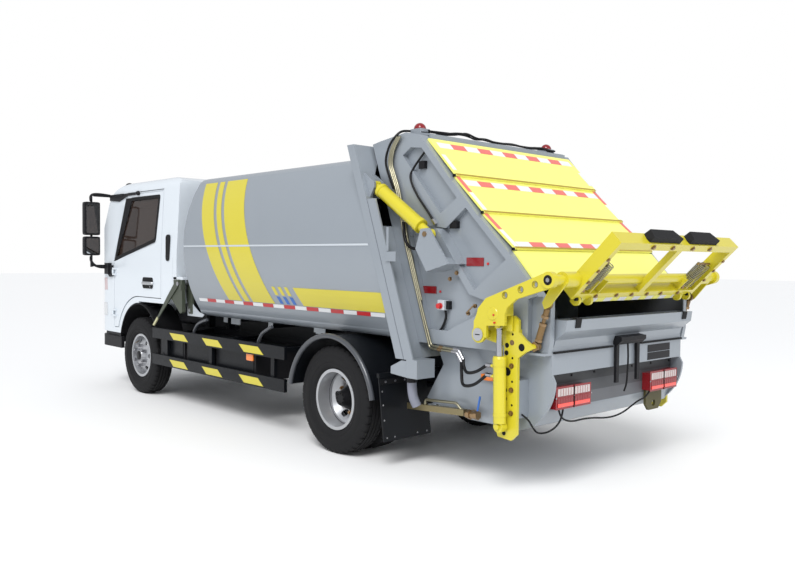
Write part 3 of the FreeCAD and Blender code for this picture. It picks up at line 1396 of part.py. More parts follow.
def finish():
    doc.recompute()
    for item in doc.Objects:
        if "Invalid" in item.State or "Error" in item.State:
            raise RuntimeError(f"{item.Name} failed: {item.State}")
    os.makedirs("parts", exist_ok=True)
    for name, item in NODES.items():
        shape = item.Shape
        if shape.isNull() or not shape.isValid() or not shape.Solids:
            raise RuntimeError(f"{name} has no valid shape")
    for name, item in NODES.items():
        item.Shape.exportStep(f"parts/{name}.step")
        box = item.Shape.BoundBox
        print(f"{name:18s} solids {len(item.Shape.Solids):2d}  X {box.XMin:7.0f} {box.XMax:7.0f}"
              f"  Y {box.YMin:6.0f} {box.YMax:6.0f}  Z {box.ZMin:6.0f} {box.ZMax:6.0f}")


finish()
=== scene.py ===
import json
import math

import bmesh
import bpy
from mathutils import Matrix, Vector


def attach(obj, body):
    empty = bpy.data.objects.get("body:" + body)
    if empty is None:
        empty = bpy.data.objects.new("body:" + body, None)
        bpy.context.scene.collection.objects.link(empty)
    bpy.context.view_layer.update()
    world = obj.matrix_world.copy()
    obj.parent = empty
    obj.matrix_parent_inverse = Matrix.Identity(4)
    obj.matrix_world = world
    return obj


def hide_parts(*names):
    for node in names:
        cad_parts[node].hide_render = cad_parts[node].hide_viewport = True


# Garbage truck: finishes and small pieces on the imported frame. Metres, +X forward, +Y left, +Z up.
# Places on the truck are in millimetres ahead of the rear axle, or behind it where that is said.

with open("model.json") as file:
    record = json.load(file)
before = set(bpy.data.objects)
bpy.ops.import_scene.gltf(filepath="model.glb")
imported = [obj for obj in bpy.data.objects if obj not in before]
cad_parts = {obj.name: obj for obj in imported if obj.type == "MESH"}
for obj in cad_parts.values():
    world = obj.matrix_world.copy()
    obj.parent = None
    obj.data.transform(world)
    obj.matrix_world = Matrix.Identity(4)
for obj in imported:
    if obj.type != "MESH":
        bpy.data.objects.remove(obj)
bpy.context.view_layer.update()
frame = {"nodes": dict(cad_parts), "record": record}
NODES = frame["nodes"]


def set_inputs(node, values):
    for name, value in values.items():
        node.inputs[name].default_value = value


def add_object(name, data):
    item = bpy.data.objects.new(name, data)
    bpy.context.scene.collection.objects.link(item)
    return item


# Finishes

PAINTS = {}


def add_noise(tree, place, scale, detail):
    noise = tree.nodes.new("ShaderNodeTexNoise")
    set_inputs(noise, {"Scale": scale, "Detail": detail})
    tree.links.new(place.outputs["Object"], noise.inputs["Vector"])
    return noise


def finish_of(name, color, rough, metal=0.0, coat=0.0, grain=0.0, scale=40.0, bump=0.0, mottle=0.0,
              alpha=1.0, shine=0.5):
    """A Principled finish with small changes of tone, roughness and height over the surface."""
    made = bpy.data.materials.new(name)
    made.use_nodes = True
    made.diffuse_color = (*color, 1.0)
    tree = made.node_tree
    shader = tree.nodes["Principled BSDF"]
    set_inputs(shader, {"Base Color": (*color, 1.0), "Roughness": rough, "Metallic": metal,
                        "Coat Weight": coat, "Coat Roughness": 0.08, "Alpha": alpha,
                        "Specular IOR Level": shine})
    if not (grain or bump or mottle):
        return made
    place = tree.nodes.new("ShaderNodeTexCoord")
    noise = add_noise(tree, place, scale, 4.0)
    if grain:
        spread = tree.nodes.new("ShaderNodeMapRange")
        set_inputs(spread, {"To Min": max(rough - grain, 0.02), "To Max": min(rough + grain, 1.0)})
        tree.links.new(noise.outputs["Fac"], spread.inputs["Value"])
        tree.links.new(spread.outputs["Result"], shader.inputs["Roughness"])
    if bump:
        height = tree.nodes.new("ShaderNodeBump")
        set_inputs(height, {"Strength": bump, "Distance": 0.002})
        tree.links.new(noise.outputs["Fac"], height.inputs["Height"])
        tree.links.new(height.outputs["Normal"], shader.inputs["Normal"])
    if mottle:
        broad = add_noise(tree, place, 3.0, 5.0)
        mix = tree.nodes.new("ShaderNodeMix")
        mix.data_type = "RGBA"
        mix.inputs["A"].default_value = (*[c * (1 - mottle) for c in color], 1.0)
        mix.inputs["B"].default_value = (*[min(c * (1 + mottle), 1.0) for c in color], 1.0)
        tree.links.new(broad.outputs["Fac"], mix.inputs["Factor"])
        tree.links.new(mix.outputs["Result"], shader.inputs["Base Color"])
    return made


def finish(name, color, rough, slot=None, **more):
    """A finish of the record, or a further one that stands in one of the record's slots."""
    made = finish_of(name, color, rough, **more)
    PAINTS[name] = (made, slot or name)
    return made


finish("chassis_black", (0.005, 0.006, 0.008), 0.36, grain=0.12, bump=0.05, shine=0.2)
finish("cab_white", (0.66, 0.71, 0.76), 0.28, coat=0.6, mottle=0.015)
finish("body_grey", (0.265, 0.295, 0.330), 0.34, metal=0.15, coat=0.35, grain=0.05, mottle=0.03)
finish("cover_yellow", (0.86, 0.84, 0.19), 0.38, coat=0.3, mottle=0.03)
finish("lifter_yellow", (0.58, 0.50, 0.020), 0.35, coat=0.4, grain=0.05, mottle=0.03)
finish("rim_silver", (0.44, 0.45, 0.47), 0.34, metal=0.6, coat=0.2)
finish("tyre_black", (0.011, 0.011, 0.012), 0.72, grain=0.1, bump=0.25, scale=160, shine=0.2)
finish("window_glass", (0.035, 0.022, 0.017), 0.05, alpha=0.78).surface_render_method = "BLENDED"
finish("inner_plastic", (0.012, 0.012, 0.014), 0.5, grain=0.1, shine=0.2)
finish("seat_cloth", (0.04, 0.04, 0.045), 0.9, bump=0.4, scale=300)
finish("lens_clear", (0.62, 0.64, 0.66), 0.12, metal=0.2, coat=0.8)
finish("lens_red", (0.22, 0.006, 0.010), 0.2, coat=0.25)
finish("rod_chrome", (0.42, 0.43, 0.46), 0.16, metal=1.0)
finish("pad_rubber", (0.012, 0.012, 0.013), 0.7, grain=0.1, bump=0.3, scale=120, shine=0.2)
finish("tank_grey", (0.10, 0.10, 0.11), 0.4, metal=0.3, grain=0.1)
finish("link_bronze", (0.20, 0.12, 0.045), 0.36, metal=0.5, coat=0.2, grain=0.1, mottle=0.1)
finish("tow_olive", (0.065, 0.056, 0.012), 0.5, mottle=0.1)
for part in frame["record"]["subparts"]:
    shown = NODES[part["node"]]
    shown.data.materials.clear()
    shown.data.materials.append(PAINTS[part["material_slot"]][0])

finish("tape_white", (0.74, 0.75, 0.77), 0.3, "cab_white", bump=0.2, scale=500)
finish("tape_red", (0.50, 0.02, 0.025), 0.3, "lens_red", bump=0.2, scale=500)
# A lighter copy of the red tape: painted light for the tape on the upward-facing cover.
finish("tape_red_lit", (0.72, 0.15, 0.13), 0.3, "lens_red", bump=0.2, scale=500)
finish("lens_bright", (0.85, 0.05, 0.03), 0.15, "lens_red", coat=0.8)
# Painted shade for the rear panel under the hopper box, darkest first.
finish("shade_dark", (0.028, 0.030, 0.034), 0.5, "body_grey")
finish("shade_mid", (0.055, 0.058, 0.065), 0.45, "body_grey")
finish("shade_low", (0.105, 0.110, 0.122), 0.45, "body_grey")
finish("stay_grey", (0.055, 0.060, 0.070), 0.3, "chassis_black", coat=0.3)
finish("seam_pale", (0.50, 0.54, 0.58), 0.4, "body_grey")
finish("seal_black", (0.006, 0.006, 0.007), 0.6, "pad_rubber", shine=0.2)
finish("hose_black", (0.007, 0.007, 0.008), 0.4, "pad_rubber", shine=0.2)
finish("zinc", (0.33, 0.31, 0.22), 0.32, "rod_chrome", metal=0.9, grain=0.1)
finish("zinc_dark", (0.24, 0.20, 0.11), 0.35, "rod_chrome", metal=0.8, mottle=0.2)
finish("steel", (0.42, 0.42, 0.44), 0.3, "rod_chrome", metal=1.0)
finish("brass", (0.30, 0.20, 0.11), 0.3, "rod_chrome", metal=0.9)
finish("amber", (0.80, 0.20, 0.02), 0.2, "lens_red", coat=0.6)
finish("lamp_white", (0.50, 0.43, 0.42), 0.15, "lens_clear", coat=0.8)
finish("blue", (0.03, 0.13, 0.45), 0.4, "body_grey")
finish("red_knob", (0.55, 0.02, 0.02), 0.35, "lens_red")
finish("dark_plate", (0.015, 0.015, 0.017), 0.35, "inner_plastic", metal=0.4, shine=0.2)
finish("olive", (0.26, 0.22, 0.03), 0.4, "lifter_yellow", metal=0.3, mottle=0.1)
finish("olive_dark", (0.055, 0.065, 0.045), 0.5, "chassis_black", mottle=0.2)
# Mottled near-black painted shade for the inside of the hopper.
finish("hopper_shade", (0.035, 0.037, 0.04), 0.6, "body_grey", mottle=0.2)
# Dark gold painted shadow for the lower edge of each cover lap.
finish("lap_shadow", (0.36, 0.25, 0.02), 0.5, "cover_yellow")
finish("hose_grey", (0.20, 0.21, 0.26), 0.5, "tank_grey")
finish("lamp_pink", (0.55, 0.42, 0.43), 0.2, "lens_clear", coat=0.8)
finish("grip_cream", (0.62, 0.60, 0.36), 0.4, "cab_white")
finish("mirror_face", (0.75, 0.78, 0.80), 0.03, "rod_chrome", metal=1.0)


def soften(item, width=0.003, angle=35):
    """Small rounds on the edges, and smooth faces between them."""
    for face in item.data.polygons:
        face.use_smooth = True
    cut = item.modifiers.new("round", "BEVEL")
    cut.width = width
    cut.segments = 2
    cut.limit_method = "ANGLE"
    cut.angle_limit = math.radians(angle)
    cut.harden_normals = False
    even = item.modifiers.new("even", "WEIGHTED_NORMAL")
    even.keep_sharp = True


for item in NODES.values():
    soften(item)


# Building small pieces

BOX_FACES = [(0, 1, 3, 2), (4, 6, 7, 5), (0, 4, 5, 1), (2, 3, 7, 6), (0, 2, 6, 4), (1, 5, 7, 3)]


class Shape:
    """Corners and faces that several simple forms are added to, then made into one piece."""

    def __init__(self):
        self.corners = []
        self.faces = []

    def add(self, corners, faces):
        start = len(self.corners)
        self.corners += [Vector(c) for c in corners]
        self.faces += [tuple(start + i for i in face) for face in faces]
        return self

    def block(self, low, high):
        return self.add([(x, y, z) for x in (low[0], high[0]) for y in (low[1], high[1])
                         for z in (low[2], high[2])], BOX_FACES)

    def prism(self, outline, low, high, axis="y"):
        """An outline of (x, z), or (y, z) along X, given depth from low to high."""
        spots = [(u, depth, v) if axis == "y" else (depth, u, v) for depth in (low, high) for u, v in outline]
        count = len(outline)
        faces = [tuple(range(count)), tuple(range(2 * count - 1, count - 1, -1))]
        faces += [(i, (i + 1) % count, (i + 1) % count + count, i + count) for i in range(count)]
        return self.add(spots, faces)

    def bar(self, start, end, radius, sides=12, far=None):
        """A round bar, or a cone where far gives another radius at its end."""
        start, end = Vector(start), Vector(end)
        turn = (end - start).to_track_quat("Z", "Y").to_matrix()
        spots = []
        for spot, size in ((start, radius), (end, radius if far is None else far)):
            for i in range(sides):
                angle = 2 * math.pi * (i + 0.5) / sides
                spots.append(spot + turn @ Vector((math.cos(angle) * size, math.sin(angle) * size, 0)))
        faces = [tuple(range(sides - 1, -1, -1)), tuple(range(sides, 2 * sides))]
        faces += [(i, (i + 1) % sides, (i + 1) % sides + sides, i + sides) for i in range(sides)]
        return self.add(spots, faces)

    def bolt(self, foot, axis, size, height):
        """A washer with a hexagon head on it."""
        axis = Vector(axis).normalized()
        seat = foot + axis * height * 0.25
        self.bar(foot, seat, size * 1.35, 14)
        return self.bar(seat, foot + axis * height, size, 6)

    def ball(self, centre, radius, squeeze=(1, 1, 1), rings=10, sides=18):
        centre = Vector(centre)
        spots = []
        for j in range(1, rings):
            tilt = math.pi * j / rings
            for i in range(sides):
                turn = 2 * math.pi * i / sides
                spots.append(centre + Vector((math.sin(tilt) * math.cos(turn) * squeeze[0],
                                              math.sin(tilt) * math.sin(turn) * squeeze[1],
                                              math.cos(tilt) * squeeze[2])) * radius)
        top = len(spots)
        pole = Vector((0, 0, radius * squeeze[2]))
        spots += [centre + pole, centre - pole]
        faces = []
        for j in range(rings - 2):
            for i in range(sides):
                k = (i + 1) % sides
                faces.append((j * sides + i, (j + 1) * sides + i, (j + 1) * sides + k, j * sides + k))
        for i in range(sides):
            k = (i + 1) % sides
            faces.append((top, i, k))
            faces.append((top + 1, (rings - 2) * sides + k, (rings - 2) * sides + i))
        return self.add(spots, faces)

    def sweep(self, path, radius, sides=10):
        """A pipe along a line of points."""
        side = None
        spots = []
        for i, spot in enumerate(path):
            along = (path[min(i + 1, len(path) - 1)] - path[max(i - 1, 0)]).normalized()
            if side is None:
                side = along.orthogonal().normalized()
            else:
                side = (side - along * side.dot(along)).normalized()
            other = along.cross(side)
            for j in range(sides):
                angle = 2 * math.pi * j / sides
                spots.append(spot + side * math.cos(angle) * radius + other * math.sin(angle) * radius)
        last = (len(path) - 1) * sides
        faces = [tuple(range(sides - 1, -1, -1)), tuple(range(last, last + sides))]
        for i in range(len(path) - 1):
            for j in range(sides):
                k = (j + 1) % sides
                faces.append((i * sides + j, i * sides + k, (i + 1) * sides + k, (i + 1) * sides + j))
        return self.add(spots, faces)

    def ring(self, outer, inner, place):
        """A flat ring between two outlines of equal length; place turns (u, v, depth 0 or 1) into a point."""
        count = len(outer)
        spots = [place(u, v, depth) for depth in (0, 1) for line in (outer, inner) for u, v in line]
        faces = []
        for i in range(count):
            k = (i + 1) % count
            a, b, c, d = i, k, count + k, count + i
            e, f, g, h = (2 * count + n for n in (i, k, count + k, count + i))
            faces += [(a, b, c, d), (e, h, g, f), (a, e, f, b), (d, c, g, h)]
        return self.add(spots, faces)

    def flipped(self):
        """The mirror image, for the other side of the truck."""
        other = Shape()
        other.corners = [Vector((c.x, -c.y, c.z)) for c in self.corners]
        other.faces = [tuple(reversed(face)) for face in self.faces]
        return other

    def make(self, name, paint, body, both=False, smooth=False, edge=0.0):
        """One piece of what was added, and its mirror image where both is true."""
        if both:
            other = self.flipped()
            self.add(other.corners, other.faces)
        mesh = bpy.data.meshes.new(name)
        mesh.from_pydata(self.corners, [], self.faces)
        mesh.validate()
        item = add_object(name, mesh)
        material, slot = PAINTS[paint]
        mesh.materials.append(material)
        face_outward(mesh)
        if smooth:
            for face in mesh.polygons:
                face.use_smooth = True
            mesh.set_sharp_from_angle(angle=math.radians(40))
        if edge:
            soften(item, edge, 30)
        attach(item, body)
        return item

    def make_sides(self, name, paint, body, **more):
        """One piece on a left body and its mirror image on the right one."""
        other = self.flipped()
        self.make(name + "_left", paint, body + "_left", **more)
        other.make(name + "_right", paint, body + "_right", **more)


def face_outward(mesh):
    work = bmesh.new()
    work.from_mesh(mesh)
    bmesh.ops.recalc_face_normals(work, faces=work.faces)
    work.to_mesh(mesh)
    work.free()


def curved(points, steps=8):
    """A smooth line through points, for pipes and hoses fixed to the truck."""
    points = [Vector(p) for p in points]
    line = []
    for i in range(len(points) - 1):
        a = points[max(i - 1, 0)]
        b, c = points[i], points[i + 1]
        d = points[min(i + 2, len(points) - 1)]
        for j in range(steps):
            t = j / steps
            line.append(((b * 2) + (c - a) * t + (a * 2 - b * 5 + c * 4 - d) * t * t
                         + (b * 3 - a - c * 3 + d) * t ** 3) / 2)
    line.append(points[-1])
    return line


def turned_corner(before, here, after, radius):
    """Points of the round that leads from one straight run into the next."""
    steps = 5
    arriving = before - here
    leaving = after - here
    cut = min(radius, arriving.length * 0.45, leaving.length * 0.45)
    first = here + arriving.normalized() * cut
    last = here + leaving.normalized() * cut
    shares = [j / steps for j in range(steps + 1)]
    return [first * (1 - t) ** 2 + here * 2 * t * (1 - t) + last * t * t for t in shares]


def bent(points, radius):
    """A line of straight runs with a round at each corner, for rigid pipes."""
    points = [Vector(p) for p in points]
    line = [points[0]]
    for i in range(1, len(points) - 1):
        line += turned_corner(points[i - 1], points[i], points[i + 1], radius)
    line.append(points[-1])
    return line


def rounded(outline, radius):
    """A closed outline with its corners rounded."""
    spots = [Vector(spot).to_2d() for spot in outline]
    line = []
    for i, here in enumerate(spots):
        after = spots[(i + 1) % len(spots)]
        line += [(spot.x, spot.y) for spot in turned_corner(spots[i - 1], here, after, radius)]
    return line


def grown(outline, by):
    """The outline moved outward by a distance, square at its corners. It runs anticlockwise."""
    made = []
    count = len(outline)
    for i in range(count):
        here = Vector(outline[i])
        before = (here - Vector(outline[i - 1])).normalized()
        after = (Vector(outline[(i + 1) % count]) - here).normalized()
        out_before = Vector((before.y, -before.x))
        out_after = Vector((after.y, -after.x))
        bisect = (out_before + out_after).normalized()
        spot = here + bisect * (by / max(bisect.dot(out_after), 0.3))
        made.append((spot.x, spot.y))
    return made


def circle(radius, sides):
    turns = [2 * math.pi * i / sides for i in range(sides)]
    return [(radius * math.cos(a), radius * math.sin(a)) for a in turns]


def oblong(left, low, right, high):
    return [(left, low), (right, low), (right, high), (left, high)]


# Places on the truck

AXLE_X = -1080.0
WHEELBASE = 3308
TYRE_R = 0.389
LEFTWARD = (0, 1, 0)
BACKWARD = (-1, 0, 0)


def on(ahead):
    """X in metres of a place ahead of the rear axle."""
    return (AXLE_X + ahead) / 1000


def at(ahead, y, z):
    """A point by its millimetres ahead of the rear axle, to the left and up."""
    return Vector((on(ahead), y / 1000, z / 1000))


def rear(behind, y, z):
    return at(-behind, y, z)


def outline_on(points):
    """A side outline in metres, from millimetres ahead of the rear axle and heights."""
    return [(on(x), z / 1000) for x, z in points]


def outline_back(points):
    return outline_on([(-b, z) for b, z in points])


REAR_X = on(0)
FRONT_X = on(WHEELBASE)
BARREL_R = 1092
BARREL_MIDDLE = 1500
BARREL_INSET = 112
CAB_HALF = 900
CAB_WAIST = 1400


def wall_y(z):
    """Half width of the load body at a height."""
    return math.sqrt(BARREL_R ** 2 - (z - BARREL_MIDDLE) ** 2) - BARREL_INSET


def cab_y(z):
    """Half width of the cab at a height; it leans in by 34 mm over the 670 mm above its waist."""
    return CAB_HALF - 34 * max(z - CAB_WAIST, 0) / 670


# Pieces of one kind of form. Their places are in millimetres behind the rear axle, or ahead of it with at.

def boxes(name, paint, body, spans, place=rear, **more):
    """Boxes, each between two corners."""
    shape = Shape()
    for low, high in spans:
        shape.block(place(*low), place(*high))
    shape.make(name, paint, body, **more)


def bars(name, paint, body, runs, place=rear, **more):
    """Round bars: two ends, then a radius in metres, the sides and, on a cone, the radius at its end."""
    shape = Shape()
    for start, end, *form in runs:
        shape.bar(place(*start), place(*end), *form)
    shape.make(name, paint, body, **more)


def slabs(name, paint, body, outlines, low, high, place=outline_back, **more):
    """Plates of a side outline, from low to high across the truck in metres."""
    shape = Shape()
    for outline in outlines:
        shape.prism(place(outline), low, high)
    shape.make(name, paint, body, **more)


def hoses(name, paint, body, routes, radius, sides=8, steps=6, place=rear, **more):
    """Round hoses on smooth lines through their points."""
    shape = Shape()
    for route in routes:
        shape.sweep(curved([place(*spot) for spot in route], steps), radius, sides)
    shape.make(name, paint, body, smooth=True, **more)


# Camera, from the fit of the truck's measured points in the photograph

PHOTO_W = 795
FOCAL_PX = 803.781
SENSOR_MM = 36.0
CAMERA_AT = (-5.6129, 4.52255, 1.4037)
YAW, PITCH, ROLL = 0.7453144, 0.0336170, 0.0100413


def place_camera():
    data = bpy.data.cameras.new("camera")
    data.sensor_width = SENSOR_MM
    data.lens = SENSOR_MM * FOCAL_PX / PHOTO_W
    data.clip_end = 200.0
    camera = add_object("camera", data)
    level_ahead = Vector((math.cos(YAW), -math.sin(YAW), 0.0))
    level_right = Vector((-math.sin(YAW), -math.cos(YAW), 0.0))
    rise = Vector((0.0, 0.0, 1.0))
    ahead = level_ahead * math.cos(PITCH) - rise * math.sin(PITCH)
    over = rise * math.cos(PITCH) + level_ahead * math.sin(PITCH)
    right = level_right * math.cos(ROLL) + over * math.sin(ROLL)
    up = over * math.cos(ROLL) - level_right * math.sin(ROLL)
    turn = Matrix((right, up, -ahead)).transposed().to_4x4()
    camera.matrix_world = Matrix.Translation(Vector(CAMERA_AT)) @ turn
    bpy.context.scene.camera = camera


def add_light(name, kind, energy, place, aim, size=None, angle=None):
    data = bpy.data.lights.new(name, kind)
    data.energy = energy
    if size:
        data.shape = "RECTANGLE"
        data.size, data.size_y = size
    if angle:
        data.angle = angle
    lamp = add_object(name, data)
    lamp.location = place
    lamp.rotation_mode = "QUATERNION"
    lamp.rotation_quaternion = (Vector(aim) - Vector(place)).to_track_quat("-Z", "Y")


def place_stage():
    world = bpy.data.worlds.new("studio")
    world.use_nodes = True
    tree = world.node_tree
    sky = tree.nodes["Background"]
    set_inputs(sky, {"Color": (0.95, 0.97, 1.0, 1.0), "Strength": 0.66})
    seen = tree.nodes.new("ShaderNodeBackground")
    set_inputs(seen, {"Color": (1.0, 1.0, 1.0, 1.0)})
    mix = tree.nodes.new("ShaderNodeMixShader")
    ray = tree.nodes.new("ShaderNodeLightPath")
    tree.links.new(ray.outputs["Is Camera Ray"], mix.inputs["Fac"])
    tree.links.new(sky.outputs["Background"], mix.inputs[1])
    tree.links.new(seen.outputs["Background"], mix.inputs[2])
    tree.links.new(mix.outputs["Shader"], tree.nodes["World Output"].inputs["Surface"])
    scene = bpy.context.scene
    scene.world = world
    scene.view_settings.view_transform = "Standard"
    reach = 60.0
    floor_mesh = bpy.data.meshes.new("floor")
    floor_mesh.from_pydata([(x, y, 0) for x, y in oblong(-reach, -reach, reach, reach)], [], [(0, 1, 2, 3)])
    floor = add_object("floor", floor_mesh)
    floor.data.materials.append(finish_of("floor_pale", (0.92, 0.92, 0.92), 0.9))
    add_light("sun", "SUN", 1.7, (-6.0, 8.0, 11.0), (0.0, 0.0, 0.0), angle=math.radians(24))
    add_light("key", "AREA", 230, (-4.5, 7.0, 6.0), (-0.5, 0.5, 1.2), size=(5, 4))
    add_light("fill", "AREA", 120, (-9.0, -2.0, 4.0), (-2.0, 0.0, 1.2), size=(5, 4))


# Free leads at the rear lamps, on the routes of the CAD tubes

LEAD_THICK = 11
LEADS = {
    "lead_left": (440, (
        (1706, 560, 536), (1706, 564, 480), (1700, 610, 420), (1690, 690, 392), (1672, 762, 394),
        (1664, 800, 436), (1640, 808, 480), (1593, 808, 500))),
    "lead_cross": (1096, (
        (1738, 650, 534.5), (1738, 636, 494), (1734, 580, 458), (1724, 486, 438), (1716, 370, 438),
        (1712, 250, 429), (1712, 130, 412), (1712, 10, 408), (1712, -100, 424), (1714, -190, 454),
        (1720, -262, 482), (1730, -338, 496), (1736, -376, 535.8))),
}


def free_lead(node, route):
    curve = bpy.data.curves.new(node + "_cord", "CURVE")
    curve.dimensions = "3D"
    curve.bevel_depth = LEAD_THICK / 2000
    curve.bevel_resolution = 4
    curve.use_fill_caps = True
    curve.materials.append(PAINTS["pad_rubber"][0])
    line = curve.splines.new("NURBS")
    line.points.add(len(route) - 1)
    for spot, place in zip(line.points, route):
        spot.co = (*rear(*place), 1.0)
    line.order_u = 3
    line.use_endpoint_u = True
    line.resolution_u = 8
    item = add_object(node + "_cord", curve)
    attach(item, "tailgate")
    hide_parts(node)


# Tyres and wheels

FRONT_MIDDLE = 790
TWIN_MIDDLES = (870, 635)


def tyre_profile():
    """(across, radius, drop) from bead to bead; drop is how deep the gaps of the tread sink there."""
    half = [(64, 206, 0), (64, 222, 0), (78, 229, 0), (90, 246, 0), (95, 262, 0), (93.5, 266, 0),
            (97, 272, 0), (100, 286, 0), (98.5, 318, 0), (96.5, 321, 0), (97, 330, 0), (94, 350, 0),
            (90, 362, 1), (86, 374, 4), (74, 386, 7), (51, 387.5, 7), (50, 377, 0), (44, 377, 0),
            (43, 388, 0), (19, 388.5, 0), (18, 378, 0), (12, 378, 0), (11, 389, 0)]
    return half + [(-across, radius, drop) for across, radius, drop in reversed(half)]


def add_tyre(shape, x, middle):
    profile = tyre_profile()
    pitches = 40
    turns = [(2 * math.pi * (i + share) / pitches, deep) for i in range(pitches)
             for share, deep in ((0.0, 0), (0.74, 0), (0.78, 1), (0.96, 1))]
    spots = []
    for angle, deep in turns:
        for across, radius, drop in profile:
            size = (radius - drop * deep) / 1000
            spots.append((x + math.sin(angle) * size, (middle + across) / 1000,
                          TYRE_R + math.cos(angle) * size))
    count = len(profile)
    faces = []
    for i in range(len(turns)):
        j = (i + 1) % len(turns)
        for k in range(count):
            m = (k + 1) % count
            faces.append((i * count + k, i * count + m, j * count + m, j * count + k))
    shape.add(spots, faces)


def make_tyres():
    for side, way in (("left", 1), ("right", -1)):
        for end, name, x, middles in (("front", "front_tyre", FRONT_X, (FRONT_MIDDLE,)),
                                      ("rear", "rear_tyres", REAR_X, TWIN_MIDDLES)):
            shape = Shape()
            for middle in middles:
                add_tyre(shape, x, middle * way)
            item = shape.make(f"{name}_tread_{side}", "tyre_black", f"wheel_{end}_{side}", smooth=True)
            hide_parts(f"{name}_{side}")


def wheel_point(x, radius, turn, y):
    """A point of a left wheel by its radius and turn from the top in degrees, in the plane at y."""
    angle = math.radians(turn)
    return Vector((x + radius / 1000 * math.sin(angle), y / 1000, TYRE_R + radius / 1000 * math.cos(angle)))


def axis_bar(shape, x, low, high, *form):
    """A round bar on a left wheel's axis, between two planes."""
    shape.bar(wheel_point(x, 0, 0, low), wheel_point(x, 0, 0, high), *form)


def make_wheel_nuts():
    for name, x, face, radius, long, paint in (("front", FRONT_X, 850, 100, 52, "steel"),
                                               ("rear", REAR_X, 763, 112, 44, "brass")):
        body = f"wheel_{name}"
        nuts = Shape()
        washers = Shape()
        for turn in range(0, 360, 60):
            foot, thin, tip, stud = (wheel_point(x, radius, turn, face + out)
                                     for out in (0, 4, long, long + 9))
            nuts.bar(foot, tip, 0.0155, 6)
            nuts.bar(tip, stud, 0.0085)
            washers.bar(foot, thin, 0.022, 16)
        nuts.make_sides(name + "_long_nuts", paint, body)
        washers.make_sides(name + "_nut_washers", "steel", body)
        valve = Shape().bar(wheel_point(x, 172, 35, face - 12), wheel_point(x, 150, 35, face + 34), 0.0045, 8)
        valve.make_sides(name + "_valve", "brass", body)
        weights = Shape()
        for turn in (48, 62):
            weights.ball(wheel_point(x, 205, turn, face + 2), 0.012, (1.4, 0.4, 0.6), rings=6, sides=10)
        weights.make_sides(name + "_balance_weight", "steel", body)


def make_hubs():
    hub = Shape()
    axis_bar(hub, FRONT_X, 888, 892, 0.047, 28)
    axis_bar(hub, FRONT_X, 892, 897, 0.038, 28, 0.03)
    hub.make_sides("front_hub_cap", "dark_plate", "wheel_front", smooth=True)
    for name, paint, steps in (("bright", "rim_silver", ((193, 181, 836, 842), (192, 170, 771, 777))),
                               ("dark", "tank_grey", ((193.5, 187, 842, 846), (192.5, 183, 777, 783)))):
        inside = Shape()
        for outer, inner, low, high in steps:
            inside.ring(circle(outer, 40), circle(inner, 40), lambda u, v, depth: Vector((
                AXLE_X + u, low + depth * (high - low), TYRE_R * 1000 + v)) / 1000)
        inside.make_sides(f"rim_steps_{name}", paint, "wheel_rear", smooth=True)
    sleeve = Shape()
    axis_bar(sleeve, REAR_X, 786, 850, 0.1015, 36, 0.068)
    axis_bar(sleeve, REAR_X, 850, 890.2, 0.068, 36, 0.052)
    sleeve.make_sides("rear_hub_sleeve", "dark_plate", "wheel_rear", smooth=True)
    cap = Shape()
    axis_bar(cap, REAR_X, 890, 896, 0.046, 28)
    for turn in range(0, 360, 45):
        cap.bolt(wheel_point(REAR_X, 36, turn, 896), LEFTWARD, 0.006, 0.006)
    cap.make_sides("rear_axle_flange", "dark_plate", "wheel_rear")


# Load body: painted bands, tape and fittings

BODY_FRONT = 2186


def wall_band(shape, low, high, low_span, high_span, lift=1.3, thick=0.7):
    """A band on the barrel's side between two heights, its ends given as spans ahead of the rear axle."""
    rows = max(int((high - low) / 40), 1)
    spots = []
    faces = []
    for i in range(rows + 1):
        share = i / rows
        z = low + (high - low) * share
        first = low_span[0] + (high_span[0] - low_span[0]) * share
        last = low_span[1] + (high_span[1] - low_span[1]) * share
        for out in (lift, lift + thick):
            y = wall_y(z) + out
            spots += [at(first, y, z), at(last, y, z)]
    for i in range(rows):
        a, b = 4 * i, 4 * i + 4
        faces += [(a + 2, a + 3, b + 3, b + 2), (a, b, b + 1, a + 1), (a, a + 2, b + 2, b),
                  (a + 1, b + 1, b + 3, a + 3)]
    end = 4 * rows
    faces += [(0, 1, 3, 2), (end, end + 2, end + 3, end + 1)]
    shape.add(spots, faces)


def wall_bands(name, paint, bands, **form):
    """Bands on both sides of the barrel: two heights, then the span at the foot and at the top."""
    shape = Shape()
    for band in bands:
        wall_band(shape, *band, **form)
    shape.make(name, paint, "chassis", both=True)


def make_body_artwork():
    """Plain slanted bands, a low yellow band and three short bars, in colours like those of the photo."""
    foot, shoulder, top, lean = 1036, 1175, 2070, 500
    wall_bands("body_bands", "lifter_yellow", [
        (foot, top, (first, last), (first + lean, last + lean))
        for first, last in ((860, 1180), (1226, 1306), (1352, 1560))])
    wall_bands("body_low_band", "lifter_yellow", [(foot, shoulder, (-560, 470), (-612, 545))])
    starts = [560 + 88 * i for i in range(3)]
    wall_bands("body_short_bars", "lifter_yellow", [
        (1108, shoulder, (start + 30, start + 72), (start + 62, start + 104)) for start in starts])
    wall_bands("body_short_bars_blue", "blue", [
        (1040, 1096, (start, start + 42), (start + 26, start + 68)) for start in starts])


def make_body_tape():
    starts = [-445 + 150 * i for i in range(17)]
    fields = [(1002, 1031, (start, start + 148), (start - 12, start + 136)) for start in starts]
    wall_bands("body_tape_red", "tape_red", fields[1::2], lift=1.8)
    wall_bands("body_tape_white", "tape_white", fields[::2], lift=1.8)
    seam = (1493, 1507, (-400, BODY_FRONT), (-395, BODY_FRONT))
    wall_bands("body_seam", "seam_pale", [seam], lift=1.0, thick=2.0)


